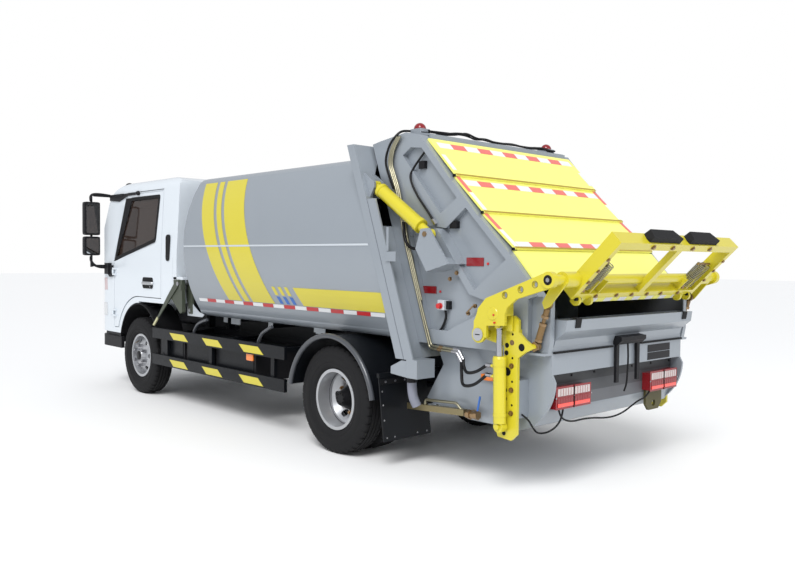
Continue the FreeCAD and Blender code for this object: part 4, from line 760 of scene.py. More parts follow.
def make_body_fittings():
    plates = Shape()
    for left, low, right, high in ((1756, 793, 1911, 893), (501, 810, 647, 900)):
        plates.prism(outline_on(oblong(left, low, right, high)), 0.6405, 0.650)
    for ahead in (1980, 1240, 560):
        plates.prism(outline_on(oblong(ahead, 800, ahead + 70, 859)), 0.6405, 0.644)
    plates.make("bearer_ends", "seam_pale", "chassis", both=True, edge=0.001)
    slabs("front_gusset", "seam_pale", "chassis",
          [[(2440, 1136), (2400, 1136), (2380, 1040), (2330, 950), (2220, 890), (2122, 870), (2160, 845),
            (2440, 845)]], 0.800, 0.806, outline_on, both=True, edge=0.001)


def make_guard_marks():
    """Yellow marks, stays and lamps of the side rails."""
    lean, tall = 82, 60
    marks = [[(first, low), (last, low), (last + lean, low + tall), (first + lean, low + tall)]
             for low in (620, 365) for first, last in ((932, 1223), (1568, 1842), (2179, 2460))]
    slabs("guard_marks", "lifter_yellow", "chassis", marks, 0.9402, 0.9412, outline_on, both=True)
    lines = (((2190, 640), (2179, 703), (2120, 778), (2031, 814), (1940, 838)),
             ((1113, 640), (1103, 700), (1050, 775), (971, 817), (899, 847)))
    routes = [[(x, 880, z) for x, z in line] for line in lines]
    hoses("guard_stays", "stay_grey", "chassis", routes, 0.014, 12, place=at, both=True)
    lamp = Shape().prism(rounded(outline_on(oblong(1113, 550, 1213, 622)), 0.012), 0.9120, 0.9260)
    lamp.make("guard_lamps", "amber", "chassis", both=True, edge=0.003)


def make_fender_parts():
    """Rounded rim on each rear fender, and the flap's clamp bar with its bolts."""
    radius, middle = 480, 370
    turns = [math.pi * (0.055 + 0.89 * i / 32) for i in range(33)]
    line = [at(-radius * math.cos(turn), 998, middle + radius * math.sin(turn)) for turn in turns]
    rim = Shape().sweep(line, 0.019, 12)
    rim.make("fender_rim", "stay_grey", "chassis", both=True, smooth=True)
    boxes("flap_clamp", "dark_plate", "chassis", [((556, 566, 566), (549, 994, 600))], both=True, edge=0.001)
    bolts = Shape()
    for i in range(5):
        bolts.bolt(rear(556, 600 + 88 * i, 583), BACKWARD, 0.006, 0.006)
    for y, z in ((982, 520), (982, 430), (982, 330), (970, 214), (900, 214), (690, 214), (600, 214)):
        bolts.bolt(rear(600.5 - (z - 190) * 56 / 420, y, z), BACKWARD, 0.0045, 0.003)
    bolts.make("flap_bolts", "steel", "chassis", both=True)


def make_box_fittings():
    """Lids and clasps on the boxes behind the left rail, and the tank's straps and cap."""
    lids = []
    clasps = []
    for low, high in ((1150, 1790), (1830, 2330), (2370, 2860)):
        lids += [((low - 6, 420, 637), (high + 6, 876, 648)),
                 ((low + 30, 869.5, 400), (high - 30, 874, 600))]
        middles = [low + (high - low) * share for share in (0.25, 0.75)]
        clasps += [((x - 14, 874, 606), (x + 14, 882, 642)) for x in middles]
    boxes("box_lids", "chassis_black", "chassis", lids, at, edge=0.002)
    boxes("box_clasps", "steel", "chassis", clasps, at, edge=0.001)
    straps = Shape()
    radius, tank_y, tank_z = 193, -600.4, 540
    turns = [2 * math.pi * i / 24 for i in range(25)]
    for x in (1020, 1560):
        straps.sweep([at(x, tank_y + radius * math.sin(turn), tank_z + radius * math.cos(turn))
                      for turn in turns], 0.005, 6)
    straps.make("tank_straps", "steel", "chassis", smooth=True)
    bars("tank_cap", "dark_plate", "chassis", [((1500, -715, 680), (1500, -738, 708), 0.042, 20)], at,
         smooth=True)


# Tail: cover tape, lamps, plates, pipes and hoses

COVER_LINE = ((751, 2190), (988, 1932), (1228, 1688), (1475, 1463), (1641, 1279))
COVER_THICK = 14
COVER_HALF = 778
COVER_LAP = 16
COVER_SEAT = 0.3


def on_cover(panel, share, lift):
    """A point (behind, height) on a cover panel's face, share of the way down it and lift above it."""
    (top_back, top), (low_back, low) = COVER_LINE[panel], COVER_LINE[panel + 1]
    length = math.hypot(low_back - top_back, top - low)
    out_b, out_z = (top - low) / length, (low_back - top_back) / length
    last = panel == len(COVER_LINE) - 2
    rise = COVER_SEAT + share * ((2 if last else COVER_LAP) - COVER_SEAT) + COVER_THICK + lift
    lap = 0 if last else COVER_LAP * share
    return (top_back + (low_back - top_back) * share + out_b * rise + out_z * lap,
            top + (low - top) * share + out_z * rise - out_b * lap)


def cover_piece(shape, panel, shares, span, lift=0.5, thick=0.7):
    first, last = shares
    corners = [on_cover(panel, first, lift), on_cover(panel, last, lift),
               on_cover(panel, last, lift + thick), on_cover(panel, first, lift + thick)]
    shape.prism(outline_back(corners), span[0] / 1000, span[1] / 1000)


def make_cover_tape():
    red = Shape()
    white = Shape()
    fields = 11
    margin = 42
    step = (2 * COVER_HALF - 2 * margin) / fields
    for panel, shares in ((0, (0.10, 0.25)), (1, (0.12, 0.28)), (2, (0.82, 0.95))):
        for i in range(fields):
            start = -COVER_HALF + margin + step * i
            cover_piece(red if i % 2 else white, panel, shares, (start, start + step - 2))
    for tape, panel, first, last in ((white, 0, 0.45, 0.86), (red, 1, 0.03, 0.46), (white, 1, 0.48, 0.94),
                                     (red, 2, 0.04, 0.48), (white, 2, 0.50, 0.95)):
        for side in (-1, 1):
            edge = side * (COVER_HALF - 20)
            cover_piece(tape, panel, (first, last), (edge - 18, edge + 18))
    # The cover's red tape takes the lighter red, painted light for its upward faces.
    red.make("cover_tape_red", "tape_red_lit", "tailgate")
    white.make("cover_tape_white", "tape_white", "tailgate")
    # Painted shadow: a thin dark gold strip along each lap, where the panel above shades the one below.
    lap_shadows = Shape()
    for panel in range(3):
        cover_piece(lap_shadows, panel, (0.955, 0.998), (-COVER_HALF, COVER_HALF), lift=0.4, thick=0.4)
    lap_shadows.make("cover_lap_shadows", "lap_shadow", "tailgate")
    clips = []
    for panel in (1, 2, 3):
        b, z = on_cover(panel, 0.0, 0)
        clips.append(((b - 8, 756, z - 12), (b + 14, 786, z + 6)))
    boxes("cover_corner_clips", "seal_black", "tailgate", clips, both=True, edge=0.002)


def make_rear_lamps():
    """White cells over red ones on each rear lamp, in a red frame."""
    face = 1752.3
    halves = ((362, 514), (532, 684))
    boxes("lamp_frames", "lens_red", "tailgate", [((face + 3, 346, 533), (face, 700, 668))],
          both=True, edge=0.002)
    for name, paint, low, high, deep in (("white", "lamp_white", 612, 656, 6),
                                         ("red", "lens_red", 546, 602, 6),
                                         ("bright", "lens_bright", 547, 569, 8)):
        cells = [((face + deep, first, low), (face + 2.5, last, high)) for first, last in halves]
        boxes(f"lamp_cells_{name}", paint, "tailgate", cells, both=True, edge=0.0015)
    places = [first + (last - first) * i / 6 for first, last in halves for i in range(1, 6)]
    ribs = [((face + 7, y - 1.5, low), (face + 6, y + 1.5, high))
            for y in places for low, high in ((549, 599), (614, 654))]
    boxes("lamp_ribs", "lens_red", "tailgate", ribs, both=True)
    boxes("lamp_splits", "seal_black", "tailgate", [((face + 7, 520, 534), (face + 3, 526, 667))], both=True)
    screws = [((face + 2, y, 603), (face + 7, y, 603), 0.005, 8) for y in (346, 523, 700)]
    bars("lamp_screws", "steel", "tailgate", screws, both=True)


def make_rear_details():
    """Plates, painted shade bands, straps, bolts and dark sheets of painted shade on and in the tail's rear
    face.
    """
    beam, panel = 1754.3, 1690.3
    boxes("rear_blank_plates", "dark_plate", "tailgate",
          [((1757, -592, low), (beam, -305, low + 48)) for low in (802, 750)], edge=0.001)
    # Painted shade of the groove along the rear beam: black strips on each side.
    boxes("rear_groove_shade", "seal_black", "tailgate",
          [((1770.6, first, 866), (beam, last, 877)) for first, last in ((130, 735), (-735, -200))])
    # Painted shade under the hopper box: three bands on the panel, darkest at the top and lighter lower down.
    for name, low, high in (("dark", 672, 741), ("mid", 600, 672), ("low", 524, 600)):
        boxes(f"rear_shade_{name}", f"shade_{name}", "tailgate", [((1692, -738, low), (panel, 740, high))])
    straps = Shape()
    for y, low, high in ((618, 1016, 1074), (-621, 1014, 1064)):
        straps.prism(outline_back([(1838, low), (1843, low), (1852, high - 6), (1850, high), (1800, high + 2),
                                   (1800, high - 3), (1845, high - 6)]), (y - 26) / 1000, (y + 26) / 1000)
    straps.make("lip_straps", "pad_rubber", "tailgate", edge=0.001)
    hoses("bracket_cable", "hose_black", "tailgate",
          [((1784, -10, 900), (1788, -12, 800), (1787, -9, 700), (1780, -10, 625), (1764, -10, 575))], 0.006)
    bolts = Shape()
    for y in (-150, -60, 40, 90):
        bolts.bolt(rear(1785, y, 893), BACKWARD, 0.007, 0.006)
    for y in (-700, -460, -220, 220, 460, 700):
        bolts.bolt(rear(1690.5, y, 712), BACKWARD, 0.008, 0.006)
    bolts.make("rear_bolts", "dark_plate", "tailgate")
    # Painted shade inside the hopper: dark sheets on its side walls and over its floor.
    side_shades = Shape()
    inner = outline_back([(900, 955), (1730, 955), (1764, 955), (1764, 1186), (1712, 1186), (1468, 1456),
                          (1100, 1640), (900, 1500)])
    for side in (-1, 1):
        side_shades.prism(inner, side * 0.7432, side * 0.7449)
    side_shades.make("hopper_side_shade", "hopper_shade", "tailgate")
    slabs("hopper_back_shade", "hopper_shade", "tailgate",
          [[(1732, 960), (1733.5, 800), (1660, 701), (1640, 706), (1729, 803), (1728, 960)]], -0.728, 0.728)


def make_tail_side():
    """What is bolted to the tail's side plate: reflectors, the control box with its lead, and a handle."""
    boxes("side_reflectors", "lens_red", "tailgate", [((860, 785.4, 1180), (717, 790, 1228)),
                                                      ((1264, 785.4, 1364), (1122, 790, 1417))],
          both=True, edge=0.001)
    studs = [((b, 785.3, z), (b, 791, z), 0.008) for b, z in ((895, 1195), (1298, 1380))]
    bars("side_studs", "red_knob", "tailgate", studs, both=True)
    boxes("control_box", "seam_pale", "tailgate", [((972, 785.4, 1078), (912, 832, 1144))], edge=0.004)
    boxes("control_box_back", "dark_plate", "tailgate", [((1000, 785.4, 1084), (972.5, 815, 1138))],
          edge=0.003)
    bars("control_knob", "red_knob", "tailgate", [((942, 832, 1106), (942, 842, 1106), 0.019, 20),
                                                  ((942, 842, 1106), (942, 858, 1106), 0.014, 20, 0.017)],
         smooth=True)
    hoses("control_lead", "hose_black", "tailgate",
          [((955, 800, 1080), (962, 802, 1030), (926, 802, 960), (860, 800, 915), (800, 797, 898),
            (740, 794, 896))], 0.008, 10)
    screws = Shape()
    for b, z in ((1075, 1320), (1018, 1281)):
        screws.bolt(rear(b, 825.3, z), LEFTWARD, 0.011, 0.012)
    screws.make("side_bolts", "brass", "tailgate", both=True)
    ends = ((1180, 1072), (1236, 1120))
    route = [(1180, 826, 1072), (1180, 850, 1072), (1236, 850, 1120), (1236, 826, 1120)]
    handle = Shape().sweep(bent([rear(*spot) for spot in route], 0.012), 0.005, 8)
    for b, z in ends:
        handle.bar(rear(b, 825.3, z), rear(b, 836, z), 0.014, 8)
    handle.make("side_grab_handle", "brass", "tailgate", both=True)


PIPE_RUN = ((533, 2225), (470, 2150), (446, 2049), (529, 1868), (613, 1531), (753, 1136), (862, 832),
            (905, 828), (1100, 824), (1140, 768))
PIPE_SIDE = 846


def make_side_pipes():
    """Three rigid pipes down the tail's front edge, and hoses from two of them to the lifter's cylinder."""
    for index, (aside, shift, run) in enumerate((
            (PIPE_SIDE, 0, PIPE_RUN), (PIPE_SIDE + 1, 16, PIPE_RUN), (PIPE_SIDE + 2, 32, PIPE_RUN[:6]))):
        spots = [rear(b + shift, aside, z + (shift if b > 840 else 0)) for b, z in run]
        pipe = Shape().sweep(bent(spots, 0.05), 0.0078)
        pipe.make(f"side_pipe_{index}", "zinc", "tailgate", both=True, smooth=True)
    sleeves = [((b, PIPE_SIDE, z), (b + 30, PIPE_SIDE, z - 3), 0.012, 6) for b, z in ((935, 828), (951, 844))]
    bars("pipe_unions", "brass", "tailgate", sleeves, both=True)
    ends = Shape()
    for shift in (0, 16):
        spots = [rear(b + shift, PIPE_SIDE, z + shift) for b, z in ((1062, 825), (1100, 824), (1143, 766))]
        ends.sweep(bent(spots, 0.03), 0.0115, 12)
    ends.make("pipe_ends", "steel", "tailgate", both=True, smooth=True)
    for index, ((b, z), (low_b, low_z), (end_b, end_z)) in enumerate((
            ((1143, 770), (1186, 632), (1400, 722)), ((1159, 786), (1215, 712), (1400, 780)))):
        route = ((b, PIPE_SIDE, z), (b + 12, 856, (z + low_z) / 2), (low_b, 872, low_z),
                 ((low_b + end_b) / 2, 890, low_z + 18), (end_b, 900, end_z))
        hoses(f"lifter_hose_{index}", "hose_black", "tailgate", [route], 0.010, 10, 8, both=True)
        joint = [((end_b - 4, 900, end_z), (end_b + 36, 906, end_z), 0.013, 6),
                 ((end_b + 36, 906, end_z), (end_b + 52, 908, end_z), 0.010, 10)]
        bars(f"lifter_hose_joint_{index}", "steel", "tailgate", joint, both=True)


def make_tail_bottom():
    """The square channel under the tail's side, its pipe loop, drain and lamp, and the post's foot."""
    bars("bottom_channel", "zinc_dark", "tailgate", [((627, 800, 418), (1141, 800, 444), 0.028, 4)],
         both=True)
    route = [(782, 800, 440), (782, 800, 478), (1060, 800, 494), (1110, 800, 452)]
    loop = Shape().sweep(bent([rear(*spot) for spot in route], 0.02), 0.010)
    loop.make("bottom_loop", "zinc", "tailgate", both=True, smooth=True)
    boxes("bottom_channel_seats", "body_grey", "tailgate",
          [((b + 30, 745.3, 424), (b, 792, 452)) for b in (800, 1040)], both=True)
    bars("drain_valve", "brass", "tailgate",
         [((1165, 745, 440), (1165, 800, 440), 0.020, 14), ((1150, 800, 436), (1240, 800, 440), 0.023, 8),
          ((1165, 800, 438), (1188, 800, 438), 0.031, 6), ((1225, 800, 440), (1248, 800, 441), 0.029, 6)])
    slabs("drain_valve_handle", "blue", "tailgate", [[(1232, 456), (1244, 456), (1266, 560), (1254, 562)]],
          0.796, 0.804, edge=0.0015)
    boxes("side_amber_lamp", "amber", "tailgate", [((1332, 745.4, 660), (1236, 768, 698))],
          both=True, edge=0.002)
    slabs("post_wedge", "body_grey", "tailgate",
          [[(640, 652), (788, 640), (788, 748), (742, 748), (640, 700)]], 0.830, 0.9850,
          both=True, edge=0.003)
    hoses("post_drain_hose", "hose_grey", "tailgate",
          [((758, 905, 650), (762, 904, 560), (770, 898, 500), (784, 880, 446))], 0.032, 16, both=True)
    bars("post_drain_cuff", "dark_plate", "tailgate", [((758, 905, 652), (760, 905, 600), 0.036, 20)],
         both=True, smooth=True)


def make_recess_hoses():
    """Hoses, joints and valves in the recess of the tail's side, and the latch on its post."""
    hose = Shape()
    for radius, route in ((0.0075, ((750, 800, 2108), (668, 818, 2010), (655, 836, 1940), (720, 838, 1828),
                                    (824, 838, 1712), (880, 836, 1646))),
                          (0.010, ((624, 868, 1649), (655, 876, 1530), (722, 880, 1476), (816, 874, 1483),
                                   (850, 862, 1540)))):
        hose.sweep(curved([rear(*spot) for spot in route]), radius)
    hose.make("recess_hoses", "hose_black", "tailgate", both=True, smooth=True)
    bars("recess_hose_joint", "steel", "tailgate",
         [((800, 873, 1484), (848, 864, 1532), 0.013, 6), ((868, 837, 1658), (896, 836, 1626), 0.014, 6)],
         both=True)
    boxes("recess_valves", "dark_plate", "tailgate", [((762, 785.3, 1998), (708, 815, 2050)),
                                                      ((1060, 785.3, 1600), (1000, 818, 1646))],
          both=True, edge=0.003)
    boxes("post_latch", "body_grey", "tailgate", [((690, 985.3, 1388), (590, 997, 1452)),
                                                  ((612, 985.3, 1455), (590, 990, 1612))],
          both=True, edge=0.002)


def make_roof_parts():
    """Lamp bases, leads and small valves on the tail's roof."""
    boxes("beacon_bases", "dark_plate", "tailgate", [((650, 652, 2246), (556, 740, 2263.6))],
          both=True, edge=0.003)
    hoses("beacon_leads", "hose_black", "tailgate",
          [((550, 690, 2256), (480, 600, 2262), (420, 420, 2252), (345, 300, 2226))], 0.006, both=True)
    valve = Shape().block(rear(470, 250, 2238), rear(400, 330, 2272))
    valve.bar(rear(435, 290, 2272), rear(435, 290, 2300), 0.014)
    valve.make("roof_valves", "steel", "tailgate", both=True, edge=0.002)
    boxes("roof_closing_strip", "body_grey", "tailgate", [((750, -744, 2190), (733.5, 744, 2232))])
    boxes("beacon_blocks", "body_grey", "tailgate", [((650, 652, 2250), (550, 744, 2284))],
          both=True, edge=0.003)
    line = [(690, 2262), (560, 2262), (430, 2274), (330, 2280), (240, 2262), (120, 2266), (0, 2258),
            (-200, 2262), (-380, 2258), (-520, 2270), (-690, 2260)]
    routes = [[(680 + bow * math.cos(turn + i), y, z + bow * 0.5 * math.sin(turn + 1.7 * i))
               for i, (y, z) in enumerate(line)] for turn, bow in ((0, 10), (2.1, 16), (4.2, 7))]
    hoses("roof_cross_hoses", "hose_black", "tailgate", routes, 0.0065, steps=5)
    hoses("roof_edge_lead", "hose_black", "tailgate",
          [((560, 700, 2272), (530, 800, 2266), (500, 850, 2214), (452, 854, 2150), (428, 854, 2060),
            (470, 854, 1950), (500, 846, 1880))], 0.008)
    routes = [[(b, y + shift, z) for b, y, z in ((460, 270, 2262), (400, 275, 2300), (300, 280, 2290),
                                                 (240, 282, 2200), (200, 285, 2160))] for shift in (0, 30)]
    hoses("roof_hoses", "hose_black", "tailgate", routes, 0.009, both=True)


# Bin lifter and cylinders

PLATE_FACE = 864.2
FRAME_SLOPE = math.sqrt(0.5)
FRAME_UNDER = -60
SPRING_UP = -22
ARM_TIP = (1876, 1297)
ARM_PIVOT = (1370, 962)
LINK_FOOT = (1700, 910)
LINK_HEAD = (1776, 1154)


def framed(low, up, y):
    """A point of the tipping frame: low along its slope from the tip, up across it."""
    return rear(ARM_TIP[0] + (low - up) * FRAME_SLOPE, y, ARM_TIP[1] + (low + up) * FRAME_SLOPE)


def bars_across(name, paint, body, places, low, high, radius, sides, **more):
    """Round bars straight across the truck at (behind, height), from low to high, on both sides."""
    runs = [((b, low, z), (b, high, z), radius, sides) for b, z in places]
    bars(name, paint, body, runs, both=True, **more)


def make_lifter_plate():
    heads = Shape()
    for z in (923, 787, 645, 509):
        heads.bolt(rear(1557, PLATE_FACE, z), LEFTWARD, 0.012, 0.003 if z > 900 else 0.013)
    heads.make("plate_bolts", "brass", "tailgate", both=True)
    holes = [((b, PLATE_FACE - 3, z), (b, PLATE_FACE + 0.6, z), size / 1000, 24) for b, z, size in (
        (1562, 972, 7), (1562, 833, 7), (1562, 695, 7), (1562, 557, 7), (1520, 905, 15), (1517, 860, 15),
        (1628, 901, 22), (1526, 750, 24), (1512, 640, 14), (1512, 590, 14), (1505, 385, 14))]
    bars("plate_holes", "seal_black", "tailgate", holes, both=True)
    b, z = LINK_FOOT
    bars("link_foot_nuts", "brass", "tailgate",
         [((b, 828, z), (b, 842, z), 0.030, 6), ((b, 796, z), (b, 805, z), 0.020, 6)], both=True)
    boxes("lifter_seat_skin", "body_grey", "tailgate", [((1591, 745.4, 479), (1469, 843, 701))], both=True)
    bars_across("pivot_caps", "rim_silver", "tailgate", [ARM_PIVOT], 951, 958, 0.038, 32, edge=0.001)
    boxes("pivot_cap_slots", "dark_plate", "tailgate", [((1388, 957.5, 959), (1352, 959, 965))], both=True)


def make_lifter_arms():
    rings = Shape()
    for b, z in ((1569, 1202), (1683, 1238), (1783, 1270)):
        edge, hole = [[(on(-b) + u, z / 1000 + v) for u, v in circle(radius, 28)]
                      for radius in (0.021, 0.0172)]
        rings.ring(edge, hole, lambda u, v, depth: Vector((u, 0.9501 + depth * 0.0008, v)))
    rings.make("arm_hole_edges", "olive", "lifter_arms", both=True)
    bars_across("arm_tip_socket", "seal_black", "lifter_arms", [ARM_TIP], 959.6, 961, 0.028, 32)
    bars_across("arm_tip_core", "steel", "lifter_arms", [ARM_TIP], 960.6, 963, 0.013, 6)
    bars_across("arm_grease_nipples", "red_knob", "lifter_arms", [(1498, 1040), (1492, 1085)], 950, 960,
                0.006, 10)
    bars("arm_boss", "lifter_yellow", "lifter_arms",
         [((1480, 949, 1090), (1480, 955, 1090), 0.040, 32, 0.034)], both=True, smooth=True)
    boxes("arm_lower_flange", "lifter_yellow", "lifter_arms", [((1574, 930.5, 1046), (1430, 949, 1054))],
          both=True, edge=0.001)


def collars(name, paint, body, foot, along, spans, **more):
    """Round collars on a rod: two places along it from its foot, the radius, the sides and a cone's end."""
    shape = Shape()
    for first, last, *form in spans:
        shape.bar(foot + along * first, foot + along * last, *form)
    shape.make(name, paint, body, both=True, **more)


def make_link_parts():
    foot, head = (rear(b, 815, z) for b, z in (LINK_FOOT, LINK_HEAD))
    along = head - foot
    collars("link_sleeves", "link_bronze", "lifter_links", foot, along,
            ((0.16, 0.50, 0.020, 14), (0.74, 0.90, 0.017, 14)), smooth=True)
    collars("link_nuts", "brass", "lifter_links", foot, along,
            [(first, last, 0.024, 6) for first, last in ((0.12, 0.17), (0.50, 0.56), (0.68, 0.74))])


def make_cylinder_parts():
    foot = rear(1510, 908, 430)
    along = (rear(1498, 908, 1019) - foot).normalized()
    collars("jack_bands", "lifter_yellow", "lifter_barrels", foot, along,
            ((0.398, 0.412, 0.041, 32, 0.036), (0.355, 0.398, 0.0412, 32), (0.060, 0.078, 0.0405, 32)),
            smooth=True)
    ports = Shape()
    for rise in (0.29, 0.35):
        for near, far, radius, sides in ((0.030, 0.062, 0.010, 12), (0.034, 0.044, 0.014, 6)):
            ends = [foot + along * rise + Vector((out, 0, 0)) for out in (near, far)]
            ports.bar(*ends, radius, sides)
    ports.make("jack_ports", "lifter_yellow", "lifter_barrels", both=True, smooth=True)
    base = rear(384, 905, 1905)
    eye = rear(910, 905, 1563)
    reach = (eye - base).length
    along = (eye - base).normalized()
    collars("lift_bands", "lifter_yellow", "tail_barrels", base, along,
            ((0.500, 0.5355, 0.050, 32), (0.066, 0.090, 0.050, 32), (0.090, 0.094, 0.048, 32)), smooth=True)
    head = Shape().bar(eye + Vector((0, 0.046, 0)), eye + Vector((0, 0.052, 0)), 0.017, 20)
    head.make("lift_pin_heads", "brass", "tailgate", both=True)
    sleeve = Shape().bar(base + along * 0.5375, base + along * (reach - 0.032), 0.030, 24)
    sleeve.bar(eye - Vector((0, 0.0184, 0)), eye + Vector((0, 0.0184, 0)), 0.0348, 28)
    sleeve.make("lift_rod_eye_cover", "lifter_yellow", "tail_rods", both=True, smooth=True)


def make_frame_bolts():
    out = Vector((-FRAME_SLOPE, 0, -FRAME_SLOPE))
    sides = (-681, 681)
    bolts = Shape()
    for low, places, size, height in ((326, (120, 340, -120, -340), 0.013, 0.011),
                                      (-78, (-480, -260, -90, 90, 260, 480), 0.012, 0.010),
                                      (40, sides, 0.010, 0.009), (130, sides, 0.010, 0.009),
                                      (220, sides, 0.010, 0.009)):
        for y in places:
            bolts.bolt(framed(low, FRAME_UNDER, y), out, size, height)
    bolts.make("frame_bolts", "brass", "lifter_frame")


def make_comb_marks():
    """White and yellow fields along the comb of the tipping frame."""
    white = Shape()
    yellow = Shape()
    for i in range(16):
        y = -640 + 80 * i
        mark = white if i % 2 else yellow
        mark.add([framed(low, up, place) for low in (-146, -94) for up in (-47.2, -46.3)
                  for place in (y, y + 78)], BOX_FACES)
    white.make("comb_marks_pale", "tape_white", "lifter_frame")
    yellow.make("comb_marks_yellow", "cover_yellow", "lifter_frame")


def make_frame_springs():
    """Two pairs of springs under the tipping frame, with the bolts and eyes that hold them."""
    springs = Shape()
    turns, steps, coil = 16, 10, 29
    for y in (606, 548, -606, -548):
        line = []
        for i in range(turns * steps + 1):
            angle = 2 * math.pi * i / steps
            low = -40 + 190 * i / (turns * steps)
            line.append(framed(low, SPRING_UP + coil * math.sin(angle), y + coil * math.cos(angle)))
        springs.sweep(line, 0.0034, 6)
    springs.make("frame_springs", "zinc", "lifter_frame", smooth=True)
    clamps = Shape()
    for y, other, end in ((606, 548, 616), (-606, -548, -480)):
        for low in (-52, 156):
            clamps.bar(framed(low, SPRING_UP, y - 34), framed(low, SPRING_UP, end), 0.008, 10)
        for place in (y, other):
            clamps.bar(framed(-70, -40, place), framed(-30, SPRING_UP, place), 0.014, 6)
    clamps.make("frame_clamps", "brass", "lifter_frame")


def make_frame_parts():
    """Fins, comb lugs with their pins, and the pads' screws on the tipping frame."""
    fins = Shape()
    for y in (560, -560, 470, -470):
        spots = [framed(low, up, place) for low, up in ((-58, -56), (40, -56), (20, -10), (-58, 20))
                 for place in (y - 4, y + 4)]
        fins.add(spots, [(0, 2, 4, 6), (7, 5, 3, 1), (0, 1, 3, 2), (2, 3, 5, 4), (4, 5, 7, 6), (6, 7, 1, 0)])
    fins.make("frame_fins", "lifter_yellow", "lifter_frame", edge=0.001)
    lugs = Shape()
    for y in (520, -520, 640, -640):
        lugs.bar(framed(-112, FRAME_UNDER, y - 10), framed(-112, FRAME_UNDER, y + 10), 0.030, 24)
    lugs.make("comb_lugs", "lifter_yellow", "lifter_frame", smooth=True)
    pins = Shape()
    for y in (645, -645):
        pins.bar(framed(-96, -64, y - 26), framed(-96, -64, y + 26), 0.010)
    pins.make("comb_pins", "dark_plate", "lifter_frame")
    screws = Shape()
    for y in [first + 340 * share for first in (60, -400) for share in (0.2, 0.8)]:
        screws.bar(framed(372, 20.2, y), framed(372, 24, y), 0.012, 14)
    screws.make("pad_screws", "dark_plate", "lifter_frame")


# Cab

WINDOW = ((3854, 1368), (3522, 2000), (2883, 2000), (2936, 1563))
HANDLE = oblong(2961, 1082, 3201, 1195)
VENT = oblong(2612, 1361, 2700, 1616)
CAB_FRONT = 4335
CORNER = 240
SCREEN_FOOT = 1345
SCREEN_LEAN = 270 / 640
ARCH_AT = (3290, 485)


def front_x(y):
    """How far ahead the cab's front face is, in plan."""
    over = max(abs(y) - (CAB_HALF - CORNER), 0)
    return CAB_FRONT - CORNER + math.sqrt(max(CORNER ** 2 - over ** 2, 0))


def screen_x(y, z):
    """How far ahead the windscreen is at a place across and up."""
    return min(CAB_FRONT - (z - SCREEN_FOOT) * SCREEN_LEAN, front_x(y))


def side_ring(outer, inner, lift, thick):
    """A flat ring on the left side of the cab, between two outlines."""
    return Shape().ring(outer, inner, lambda u, v, depth: at(u, cab_y(v) + lift + depth * thick, v))


def make_windows():
    surround = side_ring(rounded(grown(WINDOW, 15), 34), rounded(grown(WINDOW, -21), 22), 0.5, 2.2)
    surround.make_sides("window_surround", "seal_black", "door")
    trim = Shape().prism(outline_on([(3872, 1376), (3652, 2010), (3506, 2010), (3846, 1376)]), 0.8695, 0.8705)
    for i, spot in enumerate(trim.corners):
        spot.y = (cab_y(spot.z * 1000) + (0.6 if i < 4 else 2.2)) / 1000
    trim.make_sides("window_front_trim", "seal_black", "door")
    outline = [(3880, 1352), (3886, 1362), (2934, 1560), (2930, 1546)]
    strip = Shape().prism(outline_on(outline), 0.9005, 0.9040)
    strip.make_sides("window_sill_strip", "seal_black", "door", edge=0.001)
    outer = rounded([(-806, 1354), (806, 1354), (756, 1972), (-756, 1972)], 60)
    inner = rounded([(-748, 1400), (748, 1400), (706, 1930), (-706, 1930)], 50)
    screen = Shape().ring(outer, inner, lambda u, v, depth: at(screen_x(u, v) + 0.8 + depth * 2.2, u, v))
    screen.make("screen_surround", "seal_black", "cab")
    wipers = Shape()
    for pivot, tip in ((560, 30), (-60, -600)):
        foot = at(screen_x(pivot, 1372) + 8, pivot, 1372)
        end = at(screen_x(tip, 1452) + 16, tip, 1452)
        wipers.bar(foot - Vector((0.004, 0, 0)), foot + Vector((0.016, 0, 0)), 0.017, 14)
        middle = (foot + end) / 2 + Vector((0.02, 0, 0.006))
        wipers.sweep([foot + Vector((0.01, 0, 0)), middle, end], 0.006, 8)
        low = at(screen_x(tip, 1400) + 8, tip + 210, 1408)
        high = at(screen_x(tip, 1500) + 8, tip - 90, 1490)
        wipers.bar(low, high, 0.005, 6)
    wipers.make("wipers", "dark_plate", "cab", smooth=True)


def make_door_parts():
    recess = Shape().prism(rounded(outline_on(HANDLE), 0.034), 0.9003, 0.9022)
    recess.make_sides("handle_recess", "seal_black", "door")
    rim = side_ring(rounded(grown(HANDLE, 5), 36), rounded(HANDLE, 34), 0.2, 3)
    rim.make_sides("handle_rim", "cab_white", "door", smooth=True)
    route = [at(3166, 900, 1136), at(3156, 918, 1136), at(2980, 918, 1136), at(2968, 900, 1136)]
    grip = Shape().sweep(bent(route, 0.012), 0.017, 14)
    grip.make_sides("door_grip", "rim_silver", "door", smooth=True)
    lock = Shape().bar(at(3030, 900, 1100), at(3030, 905, 1100), 0.008, 20)
    lock.make_sides("door_lock", "steel", "door")
    trim = Shape().prism(outline_on(oblong(2815, 2050, 3560, 2058)), 0.862, 0.8722)
    trim.make_sides("door_top_trim", "seam_pale", "door")


